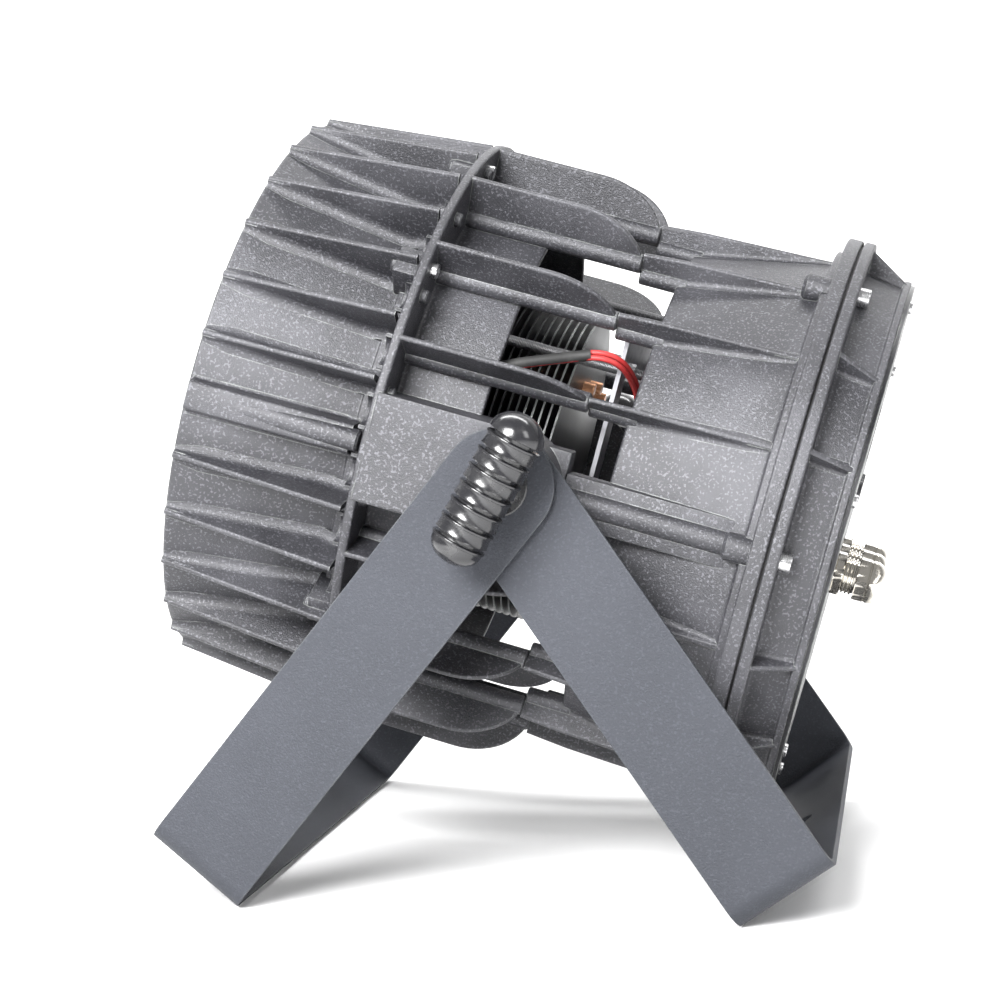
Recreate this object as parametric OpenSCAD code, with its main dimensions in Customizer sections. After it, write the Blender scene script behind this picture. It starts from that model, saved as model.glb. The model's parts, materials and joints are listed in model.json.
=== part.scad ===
// Par can light: a finned die-cast head on a double-yoke floor stand.
// The head is drawn along +X (front glass at -X, rear plate at +X) with the pivot at the origin,
// then tipped and lifted so that the two yokes stand on Z = 0.

/* [Head] */
// Radius of the front rim
rim_r = 134; // [128:1:138]
// Radius of the middle flange and its fins
flange_r = 144; // [140:1:150]
// Distance from the pivot forward to the front rim
front_reach = 148.5; // [140:0.5:160]
// Distance from the pivot back to the middle flange's front face, forward of the pivot
flange_front = 64; // [58:1:70]
// Angle of the head above level at rest, in degrees
rest_tilt = 15; // [0:1:30]
// Number of fin places round the barrel
barrel_places = 30; // [30]
// Number of fin and rib places round the cage and the rear housing
cage_places = 18; // [18]
// Thickness of the cast fins
fin_t = 3.4; // [2.5:0.1:4.5]
// Depth of the hood in front of the glass
hood_depth = 29; // [22:1:34]

/* [Rear] */
// Place of the seam between the cage and the rear housing
seam_x = 24.4; // [20:0.1:30]
// Place of the rear housing's front wall
box_front = 42; // [38:1:46]
// Place of the rear housing's sealing face
joint_x = 116.4; // [112:0.1:120]
// Place of the outer face of the back plate
back_x = 145.2; // [143:0.1:150]
// Radius of the rear flanges
rear_r = 143; // [138:1:146]
// Number of cable glands in the row
gland_count = 3; // [3]
// Spacing of the cable glands
gland_pitch = 40; // [30:1:45]

/* [Stand] */
// Width of the flat steel bar
bar_w = 49; // [40:1:55]
// Thickness of the flat steel bar
bar_t = 2.8; // [2:0.1:4]
// Height of the pivot above the floor
pivot_h = 188; // [184:1:210]
// Lean of the outer yoke from vertical, in degrees
outer_lean = 38.4; // [30:0.1:45]
// Lean of the inner yoke from vertical, in degrees
inner_lean = 35.4; // [30:0.1:45]
// Length of a clamp knob's grip
grip_len = 70; // [50:1:75]
// Diameter of a clamp knob's grip
grip_d = 24.5; // [20:0.5:30]
// Lean of the clamp grips from vertical, in degrees
grip_lean = 29; // [-90:1:90]
// Radius of the clamp hole in the middle of each yoke's foot
clamp_hole_r = 6.5; // [5:0.5:8]

/* [Hidden] */
$fn = 64;
eps = 0.01;

// Moves the middle of the whole light's outline over the origin
centre_x = 2.1;
// Barrel
barrel_rear = -flange_front;
rim_wall = 4;
core_front_r = rim_r - 1;
core_rear_r = 121;
band_front = -73;
fin_root = 2;
fin_front = -front_reach + 0.6;
glass_x = -front_reach + hood_depth;
glass_t = 5;
glass_r = 117;
fin_rear_r = flange_r - 0.6;
seat_r = glass_r + 3.5;
seat_front = glass_x - 6;
seat_rear = glass_x + glass_t + 2;
hood_rear_r = core_front_r - rim_wall - 3;
bezel_screw_r = 1.3;
bezel_screw_at = glass_r + 6;
groove_in = 108;
groove_out = 112;
groove_depth = 2;
// Light engine: the spreader plate stands against the barrel's rear wall
spreader_r = 92;
spreader_front = barrel_rear + eps;
spreader_rear = spreader_front + 8;
tie_r = 2.5;
tie_at = 80;
tie_angles = [45 : 90 : 315];
reflector_front = -112.5;
barrel_step = 360 / barrel_places;
screw_angles = [for (k = [1 : 9]) if (k != 5) k * 36];
flange_screw_r = 135.5;
// Cage
cage_flange_t = 4.4;
cage_wall_r = 116;
cage_wall_t = 3.4;
cage_wall_end = -20;
rod_r = 4.5;
rod_at = 122.3;
cage_step = 360 / cage_places;
fin_angles = [for (k = [1 : cage_places - 1]) if (k != cage_places / 2) k * cage_step];
pad_half = seam_x - 0.2;
pad_y = 144;
stud_r = 4.95;
stud_bore_r = 5;
sleeve_r = 8;
sleeve_bore_r = 8.05;
// Rear housing and cover
box_wall = 3;
rib_front_r = 128;
rib_rear_r = 131.5;
box_front_r = 118;
box_rear_r = 130;
gasket_t = 1;
cover_x = joint_x + gasket_t;
cover_flange_t = 5.2;
cover_back = back_x - 2;
cover_screw_at = 134.5;
cover_angles = [0, 60, 120, 180, 240, 300];
gusset_angles = [for (k = [0 : cage_places - 1]) if (k % 3 != 0) k * cage_step];
plate_screw_angles = [15 : 60 : 315];
plate_screw_at = 122;
gland_z = -8;
gland_hex = 19;
cable_hole_r = 3;
// Panel on the back plate
panel_z = 56;
button_z = 30;
button_pitch = 20;
button_r = 5;
// Stand
washer_t = 1;
slip = 0.3;
inner_y = pad_y + washer_t + slip;
between_y = inner_y + bar_t + slip;
outer_y = between_y + washer_t + slip;
knob_y = outer_y + bar_t + slip;
bend_r = 10;
half_w = bar_w / 2;
outer_len = (pivot_h - half_w * sin(outer_lean)) / cos(outer_lean);
inner_len = (pivot_h - half_w * sin(inner_lean)) / cos(inner_lean);
inner_half = inner_y + bar_t;
outer_half = outer_y + bar_t;

// ---- Placing helpers ----
// Stands the head on its pivot at its rest angle
module head() {
  translate([centre_x, 0, pivot_h]) rotate([0, rest_tilt, 0]) children();
}
// Turns what is drawn upward, at radius Z, to an angle from the near side, through the top
module at(a) {
  rotate([90 - a, 0, 0]) children();
}
// A body of revolution about the light axis, from [radius, place] points
module spin(points) {
  rotate([0, 90, 0]) rotate_extrude($fn = 96) polygon(points);
}
// A flat ring or disc about the light axis
module ring(r_out, r_in, x0, x1) {
  translate([x0, 0, 0]) rotate([0, 90, 0]) difference() {
    cylinder(r = r_out, h = x1 - x0, $fn = 96);
    if (r_in > 0) translate([0, 0, -1]) cylinder(r = r_in, h = x1 - x0 + 2, $fn = 96);
  }
}
// A radial plate from [place, radius] points
module plate(points, t) {
  rotate([90, 0, 0]) linear_extrude(t, center = true) polygon(points);
}
// A round bar along the light axis at a radius
module bar(r, at_r, x0, x1) {
  translate([x0, 0, at_r]) rotate([0, 90, 0]) cylinder(r = r, h = x1 - x0, $fn = 32);
}
// A hexagonal bar along the light axis, given across its flats
module hex_bar(flats, x0, x1) {
  translate([x0, 0, 0]) rotate([0, 90, 0]) cylinder(d = flats / cos(30), h = x1 - x0, $fn = 6);
}
// A point on a quarter ellipse
function arc_point(c, a, b, t) = [c[0] + a * cos(t), c[1] + b * sin(t)];
// A socket-head screw along +X whose head's underside is at the origin
module cap_screw(r, len, head_r, head_h, key) {
  translate([-len, 0, 0]) rotate([0, 90, 0]) cylinder(r = r, h = len + eps, $fn = 24);
  difference() {
    rotate([0, 90, 0]) cylinder(r = head_r, h = head_h, $fn = 32);
    hex_bar(key, head_h * 0.45, head_h + 1);
  }
}

// ---- Front barrel ----
// Rooted inside the barrel's wall, which runs parallel to the root
module barrel_fin() {
  plate([[fin_front, core_front_r - fin_root], [fin_front, rim_r + 1.8], [-66, fin_rear_r],
         [-66, core_rear_r - 1 - fin_root], [band_front, core_rear_r - 1 - fin_root]], fin_t);
}
// The wide spine along the pivot's side of the barrel, with a round rod along its back
module pivot_line_boss() {
  plate([[fin_front, core_front_r - fin_root], [fin_front, rim_r + 4.5], [-66, rim_r - 1],
         [-66, core_rear_r - 1 - fin_root], [band_front, core_rear_r - 1 - fin_root]], 15);
  bar(5, rim_r - 2, -130, -67);
}
module front_barrel() {
  color("#26262a") head() difference() {
    union() {
      spin([[core_front_r - rim_wall, -front_reach], [core_front_r, -front_reach],
            [core_rear_r - 1, band_front], [core_rear_r + 2, band_front], [core_rear_r + 2, barrel_rear],
            [60, barrel_rear], [60, barrel_rear - 4], [core_rear_r - 5.5, barrel_rear - 4],
            [core_rear_r + 0.5, seat_rear + 7.5], [glass_r - 3, seat_rear + 4], [glass_r - 3, seat_rear],
            [seat_r, seat_rear], [seat_r, seat_front], [hood_rear_r, seat_front]]);
      for (k = [0 : barrel_places - 1])
        if (k % (barrel_places / 2) != 0) at(k * barrel_step) barrel_fin();
      for (a = [0, 180]) at(a) pivot_line_boss();
      for (a = screw_angles) at(a) translate([-76, -7, core_rear_r - 3])
        cube([76 + barrel_rear, 14, flange_screw_r + 5.5 - core_rear_r]);
    }
    for (a = screw_angles) at(a) bar(2, flange_screw_r, -74, barrel_rear + 1);
    for (a = [0 : 45 : 315]) at(a) bar(bezel_screw_r + 0.05, bezel_screw_at, seat_front - 1, seat_front + 8);
    for (a = tie_angles) at(a) bar(tie_r + 0.1, tie_at, barrel_rear - 6, barrel_rear + 1);
    ring(groove_out, groove_in, barrel_rear - groove_depth, barrel_rear + 1);
  }
}
module bezel_ring() {
  color("#1c1c1f") head() difference() {
    ring(hood_rear_r - 0.3, glass_r - 6, seat_front - 3, seat_front);
    for (a = [0 : 45 : 315]) at(a) bar(bezel_screw_r + 0.1, bezel_screw_at, seat_front - 4, seat_front + 1);
  }
}
module bezel_screws() {
  color("silver") head() for (a = [0 : 45 : 315]) at(a) {
    bar(bezel_screw_r, bezel_screw_at, seat_front - 3.5, seat_front + 7);
    bar(2.4, bezel_screw_at, seat_front - 4.8, seat_front - 3);
  }
}
module glass_gasket() {
  color("#303030") head() spin([
    [glass_r - 5, seat_front], [seat_r - 0.2, seat_front], [seat_r - 0.2, glass_x + glass_t + 1.8],
    [glass_r - 2.5, glass_x + glass_t + 1.8], [glass_r - 2.5, glass_x + glass_t],
    [glass_r, glass_x + glass_t], [glass_r, glass_x], [glass_r - 5, glass_x]]);
}
module front_glass() {
  color("#cfe4ee", 0.4) head() ring(glass_r - 0.1, 0, glass_x + 0.1, glass_x + glass_t - 0.1);
}

// ---- Light engine ----
reflector_points = 10;
reflector_back = spreader_front - 4;
reflector_step = (reflector_back - reflector_front) / reflector_points;
function reflector_r(i) = 19 + (108 - 19) * sqrt(i / reflector_points);
module reflector() {
  outside = [for (i = [0 : reflector_points]) [reflector_r(i) + 1.4, reflector_back - i * reflector_step]];
  inside = [for (i = [reflector_points : -1 : 0]) [reflector_r(i), reflector_back - i * reflector_step]];
  color("#d8d8dc") head() spin(concat(outside, inside));
}
module led_holder() {
  color("#e6e6e0") head() difference() {
    ring(30, 16.2, spreader_front - 4, spreader_front);
    for (a = [45, 225]) at(a) bar(1.6, 25, spreader_front - 5, spreader_front + 1);
  }
}
module cob_led() {
  color("#e8c23a") head() {
    ring(15, 0, spreader_front - 2, spreader_front - 0.7);
    ring(16, 0, spreader_front - 0.8, spreader_front);
  }
}
module heat_spreader() {
  color("#8e8e92") head() difference() {
    ring(spreader_r, 0, spreader_front, spreader_rear);
    for (a = tie_angles) at(a) bar(tie_r + 0.05, tie_at, spreader_front - 1, spreader_rear + 1);
  }
}
pipe_places = [for (y = [[-36, 36], [-12, 42], [12, 42], [36, 36]]) for (s = [-1, 1]) [y[0], s * y[1]]];
pipe_end = 12;
module pipe_at(p, r, x0, x1) {
  translate([x0, p[0], p[1]]) rotate([0, 90, 0]) cylinder(r = r, h = x1 - x0, $fn = 24);
}
module heat_pipes() {
  color("#b87333") head() for (p = pipe_places) pipe_at(p, 3, spreader_rear, pipe_end);
}
sheet_count = 14;
sheet_pitch = 3.8;
sheet_t = 0.8;
sheet_r = 76;
first_sheet = -44;
module heatsink_fins() {
  color("#1b1b1d") head() for (i = [0 : sheet_count - 1]) let (x = first_sheet + i * sheet_pitch)
    difference() {
      ring(sheet_r, 0, x, x + sheet_t);
      for (p = pipe_places) pipe_at(p, 3.05, x - 1, x + 2);
    }
}
module barrel_gasket() {
  color("#303030") head()
    ring(groove_out - 0.2, groove_in + 0.2, barrel_rear - groove_depth, barrel_rear - 0.05);
}

// ---- Middle cage ----
module cage_fin() {
  tip = [for (t = [90 : -6 : 18]) arc_point([-8, 118], seam_x + 8.5, flange_r - 118, t)];
  plate(concat([[-flange_front + 2, rod_at - 1], [-flange_front + 2, flange_r]], tip,
               [[seam_x - 0.2, rod_at - 1]]), fin_t);
}
module pivot_pad() {
  translate([-62, -pad_half, 112]) cube([62, 2 * pad_half, pad_y - 112]);
  cylinder(r = pad_half, h = pad_y, $fn = 64);
}
module pad_tail() {
  translate([0, -20, 113]) cube([seam_x - 0.2, 40, 14]);
}
module cage_core() {
  spin([[cage_wall_r, -flange_front + eps], [flange_r, -flange_front + eps],
        [flange_r, -flange_front + cage_flange_t], [cage_wall_r + cage_wall_t, -flange_front + cage_flange_t],
        [cage_wall_r + cage_wall_t, cage_wall_end], [cage_wall_r, cage_wall_end]]);
  ring(cage_wall_r + 1, 94, -flange_front + eps, -flange_front + 2.2);
}
module mid_cage() {
  color("#26262a") head() difference() {
    union() {
      cage_core();
      for (a = fin_angles) at(a) {
        cage_fin();
        bar(rod_r, rod_at, -flange_front + 1, seam_x - 0.2);
      }
      for (a = [0, 180]) at(a) {
        intersection() {
          pivot_pad();
          translate([-80, -40, 112]) cube([140, 80, 60]);
        }
        pad_tail();
      }
    }
    for (a = screw_angles) at(a) bar(2.2, flange_screw_r, -flange_front - 1, -flange_front + 6);
    for (a = [0, 180]) at(a) translate([0, 0, 110]) cylinder(r = stud_bore_r, h = 40, $fn = 48);
  }
}
module flange_screws() {
  color("silver") head() for (a = screw_angles) at(a)
    translate([-flange_front + cage_flange_t, 0, flange_screw_r]) cap_screw(1.95, 13, 3.4, 3, 3);
}
module tie_rods() {
  color("#9a9aa0") head() for (a = tie_angles) at(a) {
    bar(tie_r, tie_at, barrel_rear - 5, box_front + 8);
    bar(4.5, tie_at, barrel_rear - 7, barrel_rear - 4);
  }
}
module tie_nuts() {
  color("silver") head() for (a = tie_angles) at(a) translate([0, 0, tie_at])
    for (x = [bracket_x + 2, box_front + box_wall]) difference() {
      hex_bar(8, x + eps, x + 4);
      bar(tie_r + 0.05, 0, x - 1, x + 5);
    }
}
bracket_x = 27.5;
bracket_half = 75;
bracket_opening = 54;
module cable_bracket() {
  color("#8a8a8e") head() difference() {
    translate([bracket_x, -bracket_half, -bracket_half]) cube([2, 2 * bracket_half, 2 * bracket_half]);
    translate([bracket_x - 1, -bracket_opening, -bracket_opening])
      cube([4, 2 * bracket_opening, 2 * bracket_opening]);
    for (a = tie_angles) at(a) bar(tie_r + 0.1, tie_at, bracket_x - 1, bracket_x + 3);
  }
}
// The cable's route behind the fins: from the spreader plate, back and into the driver box
cable_hole = [-44, 40];
cable_route = [[-55.9, -82, 26], [-53, -82, 26], [-49, -87, 29], [-43, -96, 34], [-28, -99, 42],
               [-14, -97, 49], [-2, -94, 54], [8, -91, 58], [16, -90, 61], [24, -89, 62],
               [31, -83, 59.5], [36, -71, 53], [38, -60, 47], [39.3, -50, 42.2], [42.2, -44.4, 40.2],
               [47, -44, 40]];
cable_r = 2.6;
cable_sides = 10;
function unit(v) = v / norm(v);
function along(p, i) = unit(p[min(i + 1, len(p) - 1)] - p[max(i - 1, 0)]);
function swept(p, r, n) = [for (i = [0 : len(p) - 1]) let (
    d = along(p, i), u = unit(cross(d, [0, 0, 1])), w = cross(d, u))
  for (k = [0 : n - 1]) p[i] + r * cos(360 * k / n) * u + r * sin(360 * k / n) * w];
function tube_faces(m, n) = concat(
  [[for (k = [0 : n - 1]) k]],
  [for (i = [0 : m - 2]) for (k = [0 : n - 1])
    [i * n + k, (i + 1) * n + k, (i + 1) * n + (k + 1) % n, i * n + (k + 1) % n]],
  [[for (k = [n - 1 : -1 : 0]) (m - 1) * n + k]]);
module led_cable() {
  color("#8c1f1f") head()
    polyhedron(swept(cable_route, cable_r, cable_sides), tube_faces(len(cable_route), cable_sides));
}

// ---- Rear housing ----
module housing_rib() {
  plate([[seam_x, 118], [seam_x, rib_front_r], [seam_x + 20, rib_front_r + 1.6],
         [joint_x - 6.9, rib_rear_r], [joint_x - 6.9, box_rear_r - 4],
         [box_front + 1, box_front_r - 2]], fin_t);
}
module housing_spine() {
  translate([seam_x, -11, 114]) cube([joint_x - 6.9 - seam_x, 22, 14.5]);
  bar(5.4, 127, seam_x, joint_x - 16);
}
module rear_housing() {
  color("#26262a") head() difference() {
    union() {
      spin([[0, box_front], [box_front_r, box_front], [box_rear_r, joint_x - 10.4], [135.5, joint_x - 10.4],
            [135.5, joint_x - 6.9], [rear_r, joint_x - 6.9], [rear_r, joint_x],
            [box_rear_r - box_wall, joint_x],
            [box_front_r - box_wall, box_front + box_wall], [0, box_front + box_wall]]);
      for (a = fin_angles) at(a) {
        housing_rib();
        bar(4.2, 116.6, seam_x, box_front + 4);
      }
      for (a = [0, 180]) at(a) housing_spine();
      for (a = cover_angles) at(a) bar(6.2, cover_screw_at - 1.5, joint_x - 19, joint_x - 5);
    }
    for (a = cover_angles) at(a) bar(2.5, cover_screw_at, joint_x - 17, joint_x + 1);
    for (a = tie_angles) at(a) bar(tie_r + 0.1, tie_at, box_front - 1, box_front + box_wall + 1);
    pipe_at(cable_hole, 4.5, box_front - 1, box_front + box_wall + 1);
    // the box behind the front wall
    spin([[0, box_front + box_wall], [box_front_r - box_wall, box_front + box_wall],
          [box_rear_r - box_wall, joint_x + 1], [0, joint_x + 1]]);
  }
}
module housing_gasket() {
  color("#303030") head() difference() {
    ring(140.5, box_rear_r - 1, joint_x, cover_x);
    for (a = cover_angles) at(a) bar(2.8, cover_screw_at, joint_x - 1, cover_x + 1);
  }
}
module gusset() {
  plate([[cover_x + 4, 128], [cover_x + 4, rear_r - 1], [cover_back - 1, 129.5],
         [cover_back - 1, 125]], fin_t);
}
module rear_cover() {
  color("#26262a") head() difference() {
    union() {
      spin([[box_rear_r - 4, cover_x], [rear_r, cover_x], [rear_r, cover_x + cover_flange_t],
            [130.5, cover_x + cover_flange_t], [127.5, cover_back - 3.4], [130, cover_back - 3.4],
            [130, cover_back], [0, cover_back], [0, cover_back - 3], [123, cover_back - 3]]);
      for (a = gusset_angles) at(a) gusset();
    }
    for (a = cover_angles) at(a) bar(2.75, cover_screw_at, cover_x - 1, cover_x + 8);
    gland_holes(cover_back - 5, 7);
    panel_hole(cover_back - 5, 7);
    for (a = plate_screw_angles) at(a) bar(1.5, plate_screw_at, cover_back - 5, cover_back + 1);
  }
}
module cover_screws() {
  color("silver") head() for (a = cover_angles) at(a)
    translate([cover_x + cover_flange_t, 0, cover_screw_at]) cap_screw(2.45, 20, 4.25, 5, 4);
}

// ---- Back plate, panel and glands ----
function gland_y(i) = (i - 2) * gland_pitch;
module gland_holes(x, h) {
  for (i = [1 : gland_count]) translate([x, gland_y(i), gland_z]) rotate([0, 90, 0])
    cylinder(r = 6.1, h = h, $fn = 32);
}
module panel_hole(x, h) {
  translate([x, -33, panel_z - 14]) cube([h, 66, 28]);
  for (i = [1 : 4]) translate([x, button_y(i), button_z]) rotate([0, 90, 0])
    cylinder(r = button_r + 0.3, h = h, $fn = 32);
}
module back_plate() {
  color("#1c1c1f") head() difference() {
    ring(128.6, 0, cover_back, back_x);
    gland_holes(cover_back - 1, 5);
    panel_hole(cover_back - 1, 5);
    for (a = plate_screw_angles) at(a) bar(1.7, plate_screw_at, cover_back - 1, back_x + 1);
  }
}
module plate_screws() {
  color("silver") head() for (a = plate_screw_angles) at(a) {
    bar(1.45, plate_screw_at, cover_back - 2.9, back_x + 0.5);
    bar(3, plate_screw_at, back_x, back_x + 1.6);
  }
}
// Places along a gland, measured from the back plate
gland_neck = 10.4;
gland_thread = 15;
gland_tip = 23;
module gland_body(i) {
  color("#b9b4a6") head() translate([back_x, gland_y(i), gland_z]) difference() {
    union() {
      hex_bar(gland_hex, 0, 4.2);
      bar(5.9, 0, -10, 1);
      bar(7.9, 0, 4, gland_neck);
      for (x = [5, 7.2]) bar(8.5, 0, x, x + 1.2);
      bar(6, 0, 4, gland_thread);
    }
    bar(4.2, 0, -11, gland_thread + 1);
  }
}
module gland_nut(i) {
  color("#c4bfb2") head() translate([back_x, gland_y(i), gland_z]) difference() {
    intersection() {
      hex_bar(gland_hex, gland_neck + 0.1, gland_tip);
      translate([gland_neck, 0, 0]) rotate([0, 90, 0]) rotate_extrude($fn = 64)
        polygon([[0, 0], [11, 0], [11, 6], [9.2, 9.6], [7, 12], [5, 12.6], [0, 12.6]]);
    }
    bar(6.05, 0, gland_neck - 1, gland_thread + 0.2);
    bar(4.4, 0, gland_neck - 1, gland_tip + 1);
  }
}
module gland_seal(i) {
  color("#202020") head() translate([back_x, gland_y(i), gland_z]) difference() {
    bar(4.3, 0, gland_thread + 0.1, gland_tip - 0.4);
    bar(cable_hole_r, 0, gland_thread, gland_tip);
  }
}
module gland_locknut(i) {
  color("#b9b4a6") head() translate([cover_back - 3, gland_y(i), gland_z]) difference() {
    hex_bar(17, -3.4, -0.1);
    bar(5.95, 0, -5, 2);
  }
}
module power_supply() {
  color("#9fa3a8") head() difference() {
    translate([box_front + box_wall + 9, -62, -70]) cube([42, 124, 58]);
    for (z = [-62 : 10 : -22]) translate([box_front + box_wall + 8, -50, z]) cube([4, 100, 4]);
  }
}
module control_board() {
  color("#1e6b3a") head() union() {
    translate([cover_back - 14, -45, 14]) cube([1.6, 90, 64]);
    translate([cover_back - 22, -30, 20]) cube([8.01, 22, 18]);
    translate([cover_back - 20, 6, 22]) cube([6.01, 26, 12]);
    for (i = [1 : 4]) translate([cover_back - 12.5, button_y(i) - 3, button_z - 3]) cube([4.6, 6, 6]);
  }
}
module board_posts() {
  color("#c9b26a") head() for (y = [-41, 41]) for (z = [18, 74]) translate([cover_back - 12.4, y, z])
    rotate([0, 90, 0]) cylinder(r = 2.4, h = 9.4, $fn = 24);
}
module display_panel() {
  color("#22303c") head() translate([cover_back - 12.4, -31, panel_z - 12]) cube([9.4, 62, 24]);
}
module display_window() {
  color("#7f8d96", 0.5) head() translate([cover_back - 2.8, -32.8, panel_z - 13.8])
    cube([back_x - cover_back + 2.6, 65.6, 27.6]);
}
function button_y(i) = (i - 2.5) * button_pitch;
module button(i) {
  color("#3a3a40") head() translate([back_x, button_y(i), button_z]) rotate([0, 90, 0]) {
    translate([0, 0, -9]) cylinder(r = button_r, h = 10.6, $fn = 32);
    translate([0, 0, -6.3]) cylinder(r = button_r + 1.2, h = 1.2, $fn = 32);
  }
}

// ---- Stand ----
// Stands what is drawn about the pivot on the floor
module stand() {
  translate([centre_x, 0, pivot_h]) children();
}
// A bar along the pivot axis, outward on one side: side -1 is near, 1 is far
module pivot_bar(side, r, y0, y1) {
  rotate([side * -90, 0, 0]) translate([0, 0, y0]) cylinder(r = r, h = y1 - y0, $fn = 48);
}
// The yoke's bent bar as an outline across the pivot axis, hanging down from the pivot
module yoke_outline(half, length) {
  difference() {
    union() {
      translate([-half, -length + bend_r]) square([2 * half, length - bend_r]);
      translate([-half + bend_r, -length]) square([2 * half - 2 * bend_r, length]);
      for (s = [-1, 1]) translate([s * (half - bend_r), -length + bend_r]) circle(r = bend_r, $fn = 48);
      translate([-half, 0]) square([2 * half, half_w]);
    }
    union() {
      translate([-half + bar_t, -length + bend_r]) square([2 * half - 2 * bar_t, length + 60]);
      translate([-half + bend_r, -length + bar_t]) square([2 * half - 2 * bend_r, length + 60]);
      for (s = [-1, 1]) translate([s * (half - bend_r), -length + bend_r])
        circle(r = bend_r - bar_t, $fn = 48);
    }
  }
}
module yoke(half, length) {
  difference() {
    intersection() {
      rotate([90, 0, 90]) linear_extrude(bar_w, center = true) yoke_outline(half, length);
      // rounded tops of the two arms
      rotate([90, 0, 0]) union() {
        cylinder(r = half_w, h = 2 * half + 2, center = true, $fn = 64);
        translate([-half_w, -length - 1, -half - 1]) cube([bar_w, length + 1, 2 * half + 2]);
      }
    }
    rotate([90, 0, 0]) cylinder(r = sleeve_bore_r, h = 2 * half + 4, center = true, $fn = 64);
    translate([0, 0, -length - 1]) cylinder(r = clamp_hole_r, h = bar_t + 2, $fn = 48);
  }
}
module outer_yoke() {
  color("#43464d") stand() rotate([0, outer_lean, 0]) yoke(outer_half, outer_len);
}
module inner_yoke() {
  color("#43464d") stand() rotate([0, -inner_lean, 0]) yoke(inner_half, inner_len);
}
module pivot_sleeve(side) {
  color("silver") stand() difference() {
    pivot_bar(side, sleeve_r, pad_y, knob_y - 0.1);
    pivot_bar(side, stud_bore_r, pad_y - 1, knob_y + 1);
  }
}
module pivot_washers() {
  color("#d8d8d0") stand() for (side = [-1, 1]) for (y = [pad_y, between_y]) difference() {
    pivot_bar(side, 19, y, y + washer_t);
    pivot_bar(side, sleeve_r, y - 1, y + washer_t + 1);
  }
}
module knob_stud(side) {
  color("silver") stand() {
    pivot_bar(side, stud_r, 121, knob_y + 1.2);
    pivot_bar(side, 13, knob_y, knob_y + 1.5);
  }
}
groove_count = 7;
dome_share = 0.6;
module grip_profile() {
  r = grip_d / 2;
  half = grip_len / 2;
  pitch = (grip_len - grip_d * dome_share) / groove_count;
  rotate_extrude($fn = 48) difference() {
    intersection() {
      union() {
        translate([0, -half + r]) square([r, 2 * (half - r)]);
        for (s = [-1, 1]) translate([0, s * (half - r)]) circle(r = r, $fn = 48);
      }
      translate([0, -half]) square([r, grip_len]);
    }
    for (i = [0 : groove_count - 1]) translate([r + 0.7, (i - (groove_count - 1) / 2) * pitch])
      circle(r = 2.2, $fn = 24);
  }
}
module knob_grip(side) {
  color("#151517") stand() union() {
    pivot_bar(side, 10, knob_y + 1.5, knob_y + 14);
    translate([0, side * (knob_y + 9.5 + grip_d / 2), 0]) rotate([0, grip_lean, 0]) grip_profile();
  }
}

front_barrel();
bezel_ring();
bezel_screws();
glass_gasket();
front_glass();
reflector();
led_holder();
cob_led();
heat_spreader();
heat_pipes();
heatsink_fins();
barrel_gasket();
mid_cage();
flange_screws();
tie_rods();
tie_nuts();
cable_bracket();
led_cable();
rear_housing();
housing_gasket();
rear_cover();
cover_screws();
back_plate();
plate_screws();
gland_body(1);  // gland_body_1
gland_body(2);  // gland_body_2
gland_body(3);  // gland_body_3
gland_nut(1);  // gland_nut_1
gland_nut(2);  // gland_nut_2
gland_nut(3);  // gland_nut_3
gland_seal(1);  // gland_seal_1
gland_seal(2);  // gland_seal_2
gland_seal(3);  // gland_seal_3
gland_locknut(1);  // gland_locknut_1
gland_locknut(2);  // gland_locknut_2
gland_locknut(3);  // gland_locknut_3
power_supply();
control_board();
board_posts();
display_panel();
display_window();
button(1);  // button_1
button(2);  // button_2
button(3);  // button_3
button(4);  // button_4
pivot_sleeve(-1);  // pivot_sleeve_near
pivot_sleeve(1);  // pivot_sleeve_far
pivot_washers();
knob_grip(-1);  // knob_grip_near
knob_stud(-1);  // knob_stud_near
knob_grip(1);  // knob_grip_far
knob_stud(1);  // knob_stud_far
outer_yoke();
inner_yoke();
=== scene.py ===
"""Par can light: the finished look of a finned, die-cast stage light on its double yoke."""
import json
import math

import bmesh
import bpy
from mathutils import Matrix, Vector


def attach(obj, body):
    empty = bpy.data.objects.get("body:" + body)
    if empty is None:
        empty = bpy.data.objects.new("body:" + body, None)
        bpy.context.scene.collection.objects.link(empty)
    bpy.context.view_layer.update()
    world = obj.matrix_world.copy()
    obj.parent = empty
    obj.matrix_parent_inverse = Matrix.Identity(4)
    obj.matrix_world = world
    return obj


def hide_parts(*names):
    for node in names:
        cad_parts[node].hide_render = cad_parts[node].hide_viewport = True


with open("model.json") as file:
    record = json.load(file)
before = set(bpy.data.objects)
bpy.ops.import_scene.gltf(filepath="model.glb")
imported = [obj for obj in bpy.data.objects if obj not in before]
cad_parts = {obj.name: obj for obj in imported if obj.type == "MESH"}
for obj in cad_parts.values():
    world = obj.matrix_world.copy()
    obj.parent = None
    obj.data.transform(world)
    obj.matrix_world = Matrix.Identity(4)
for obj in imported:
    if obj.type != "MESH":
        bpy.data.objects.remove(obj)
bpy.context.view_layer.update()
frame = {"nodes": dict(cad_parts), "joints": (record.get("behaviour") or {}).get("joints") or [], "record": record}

bl_info = {
    "name": "Par Can Light",
    "version": (1, 0, 0),
    "blender": (4, 5, 0),
    "location": "3D View > Sidebar > Par Can",
    "description": "Builds the castings, straps, knobs and finishes of a par can light",
    "category": "Add Mesh",
}

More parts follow.
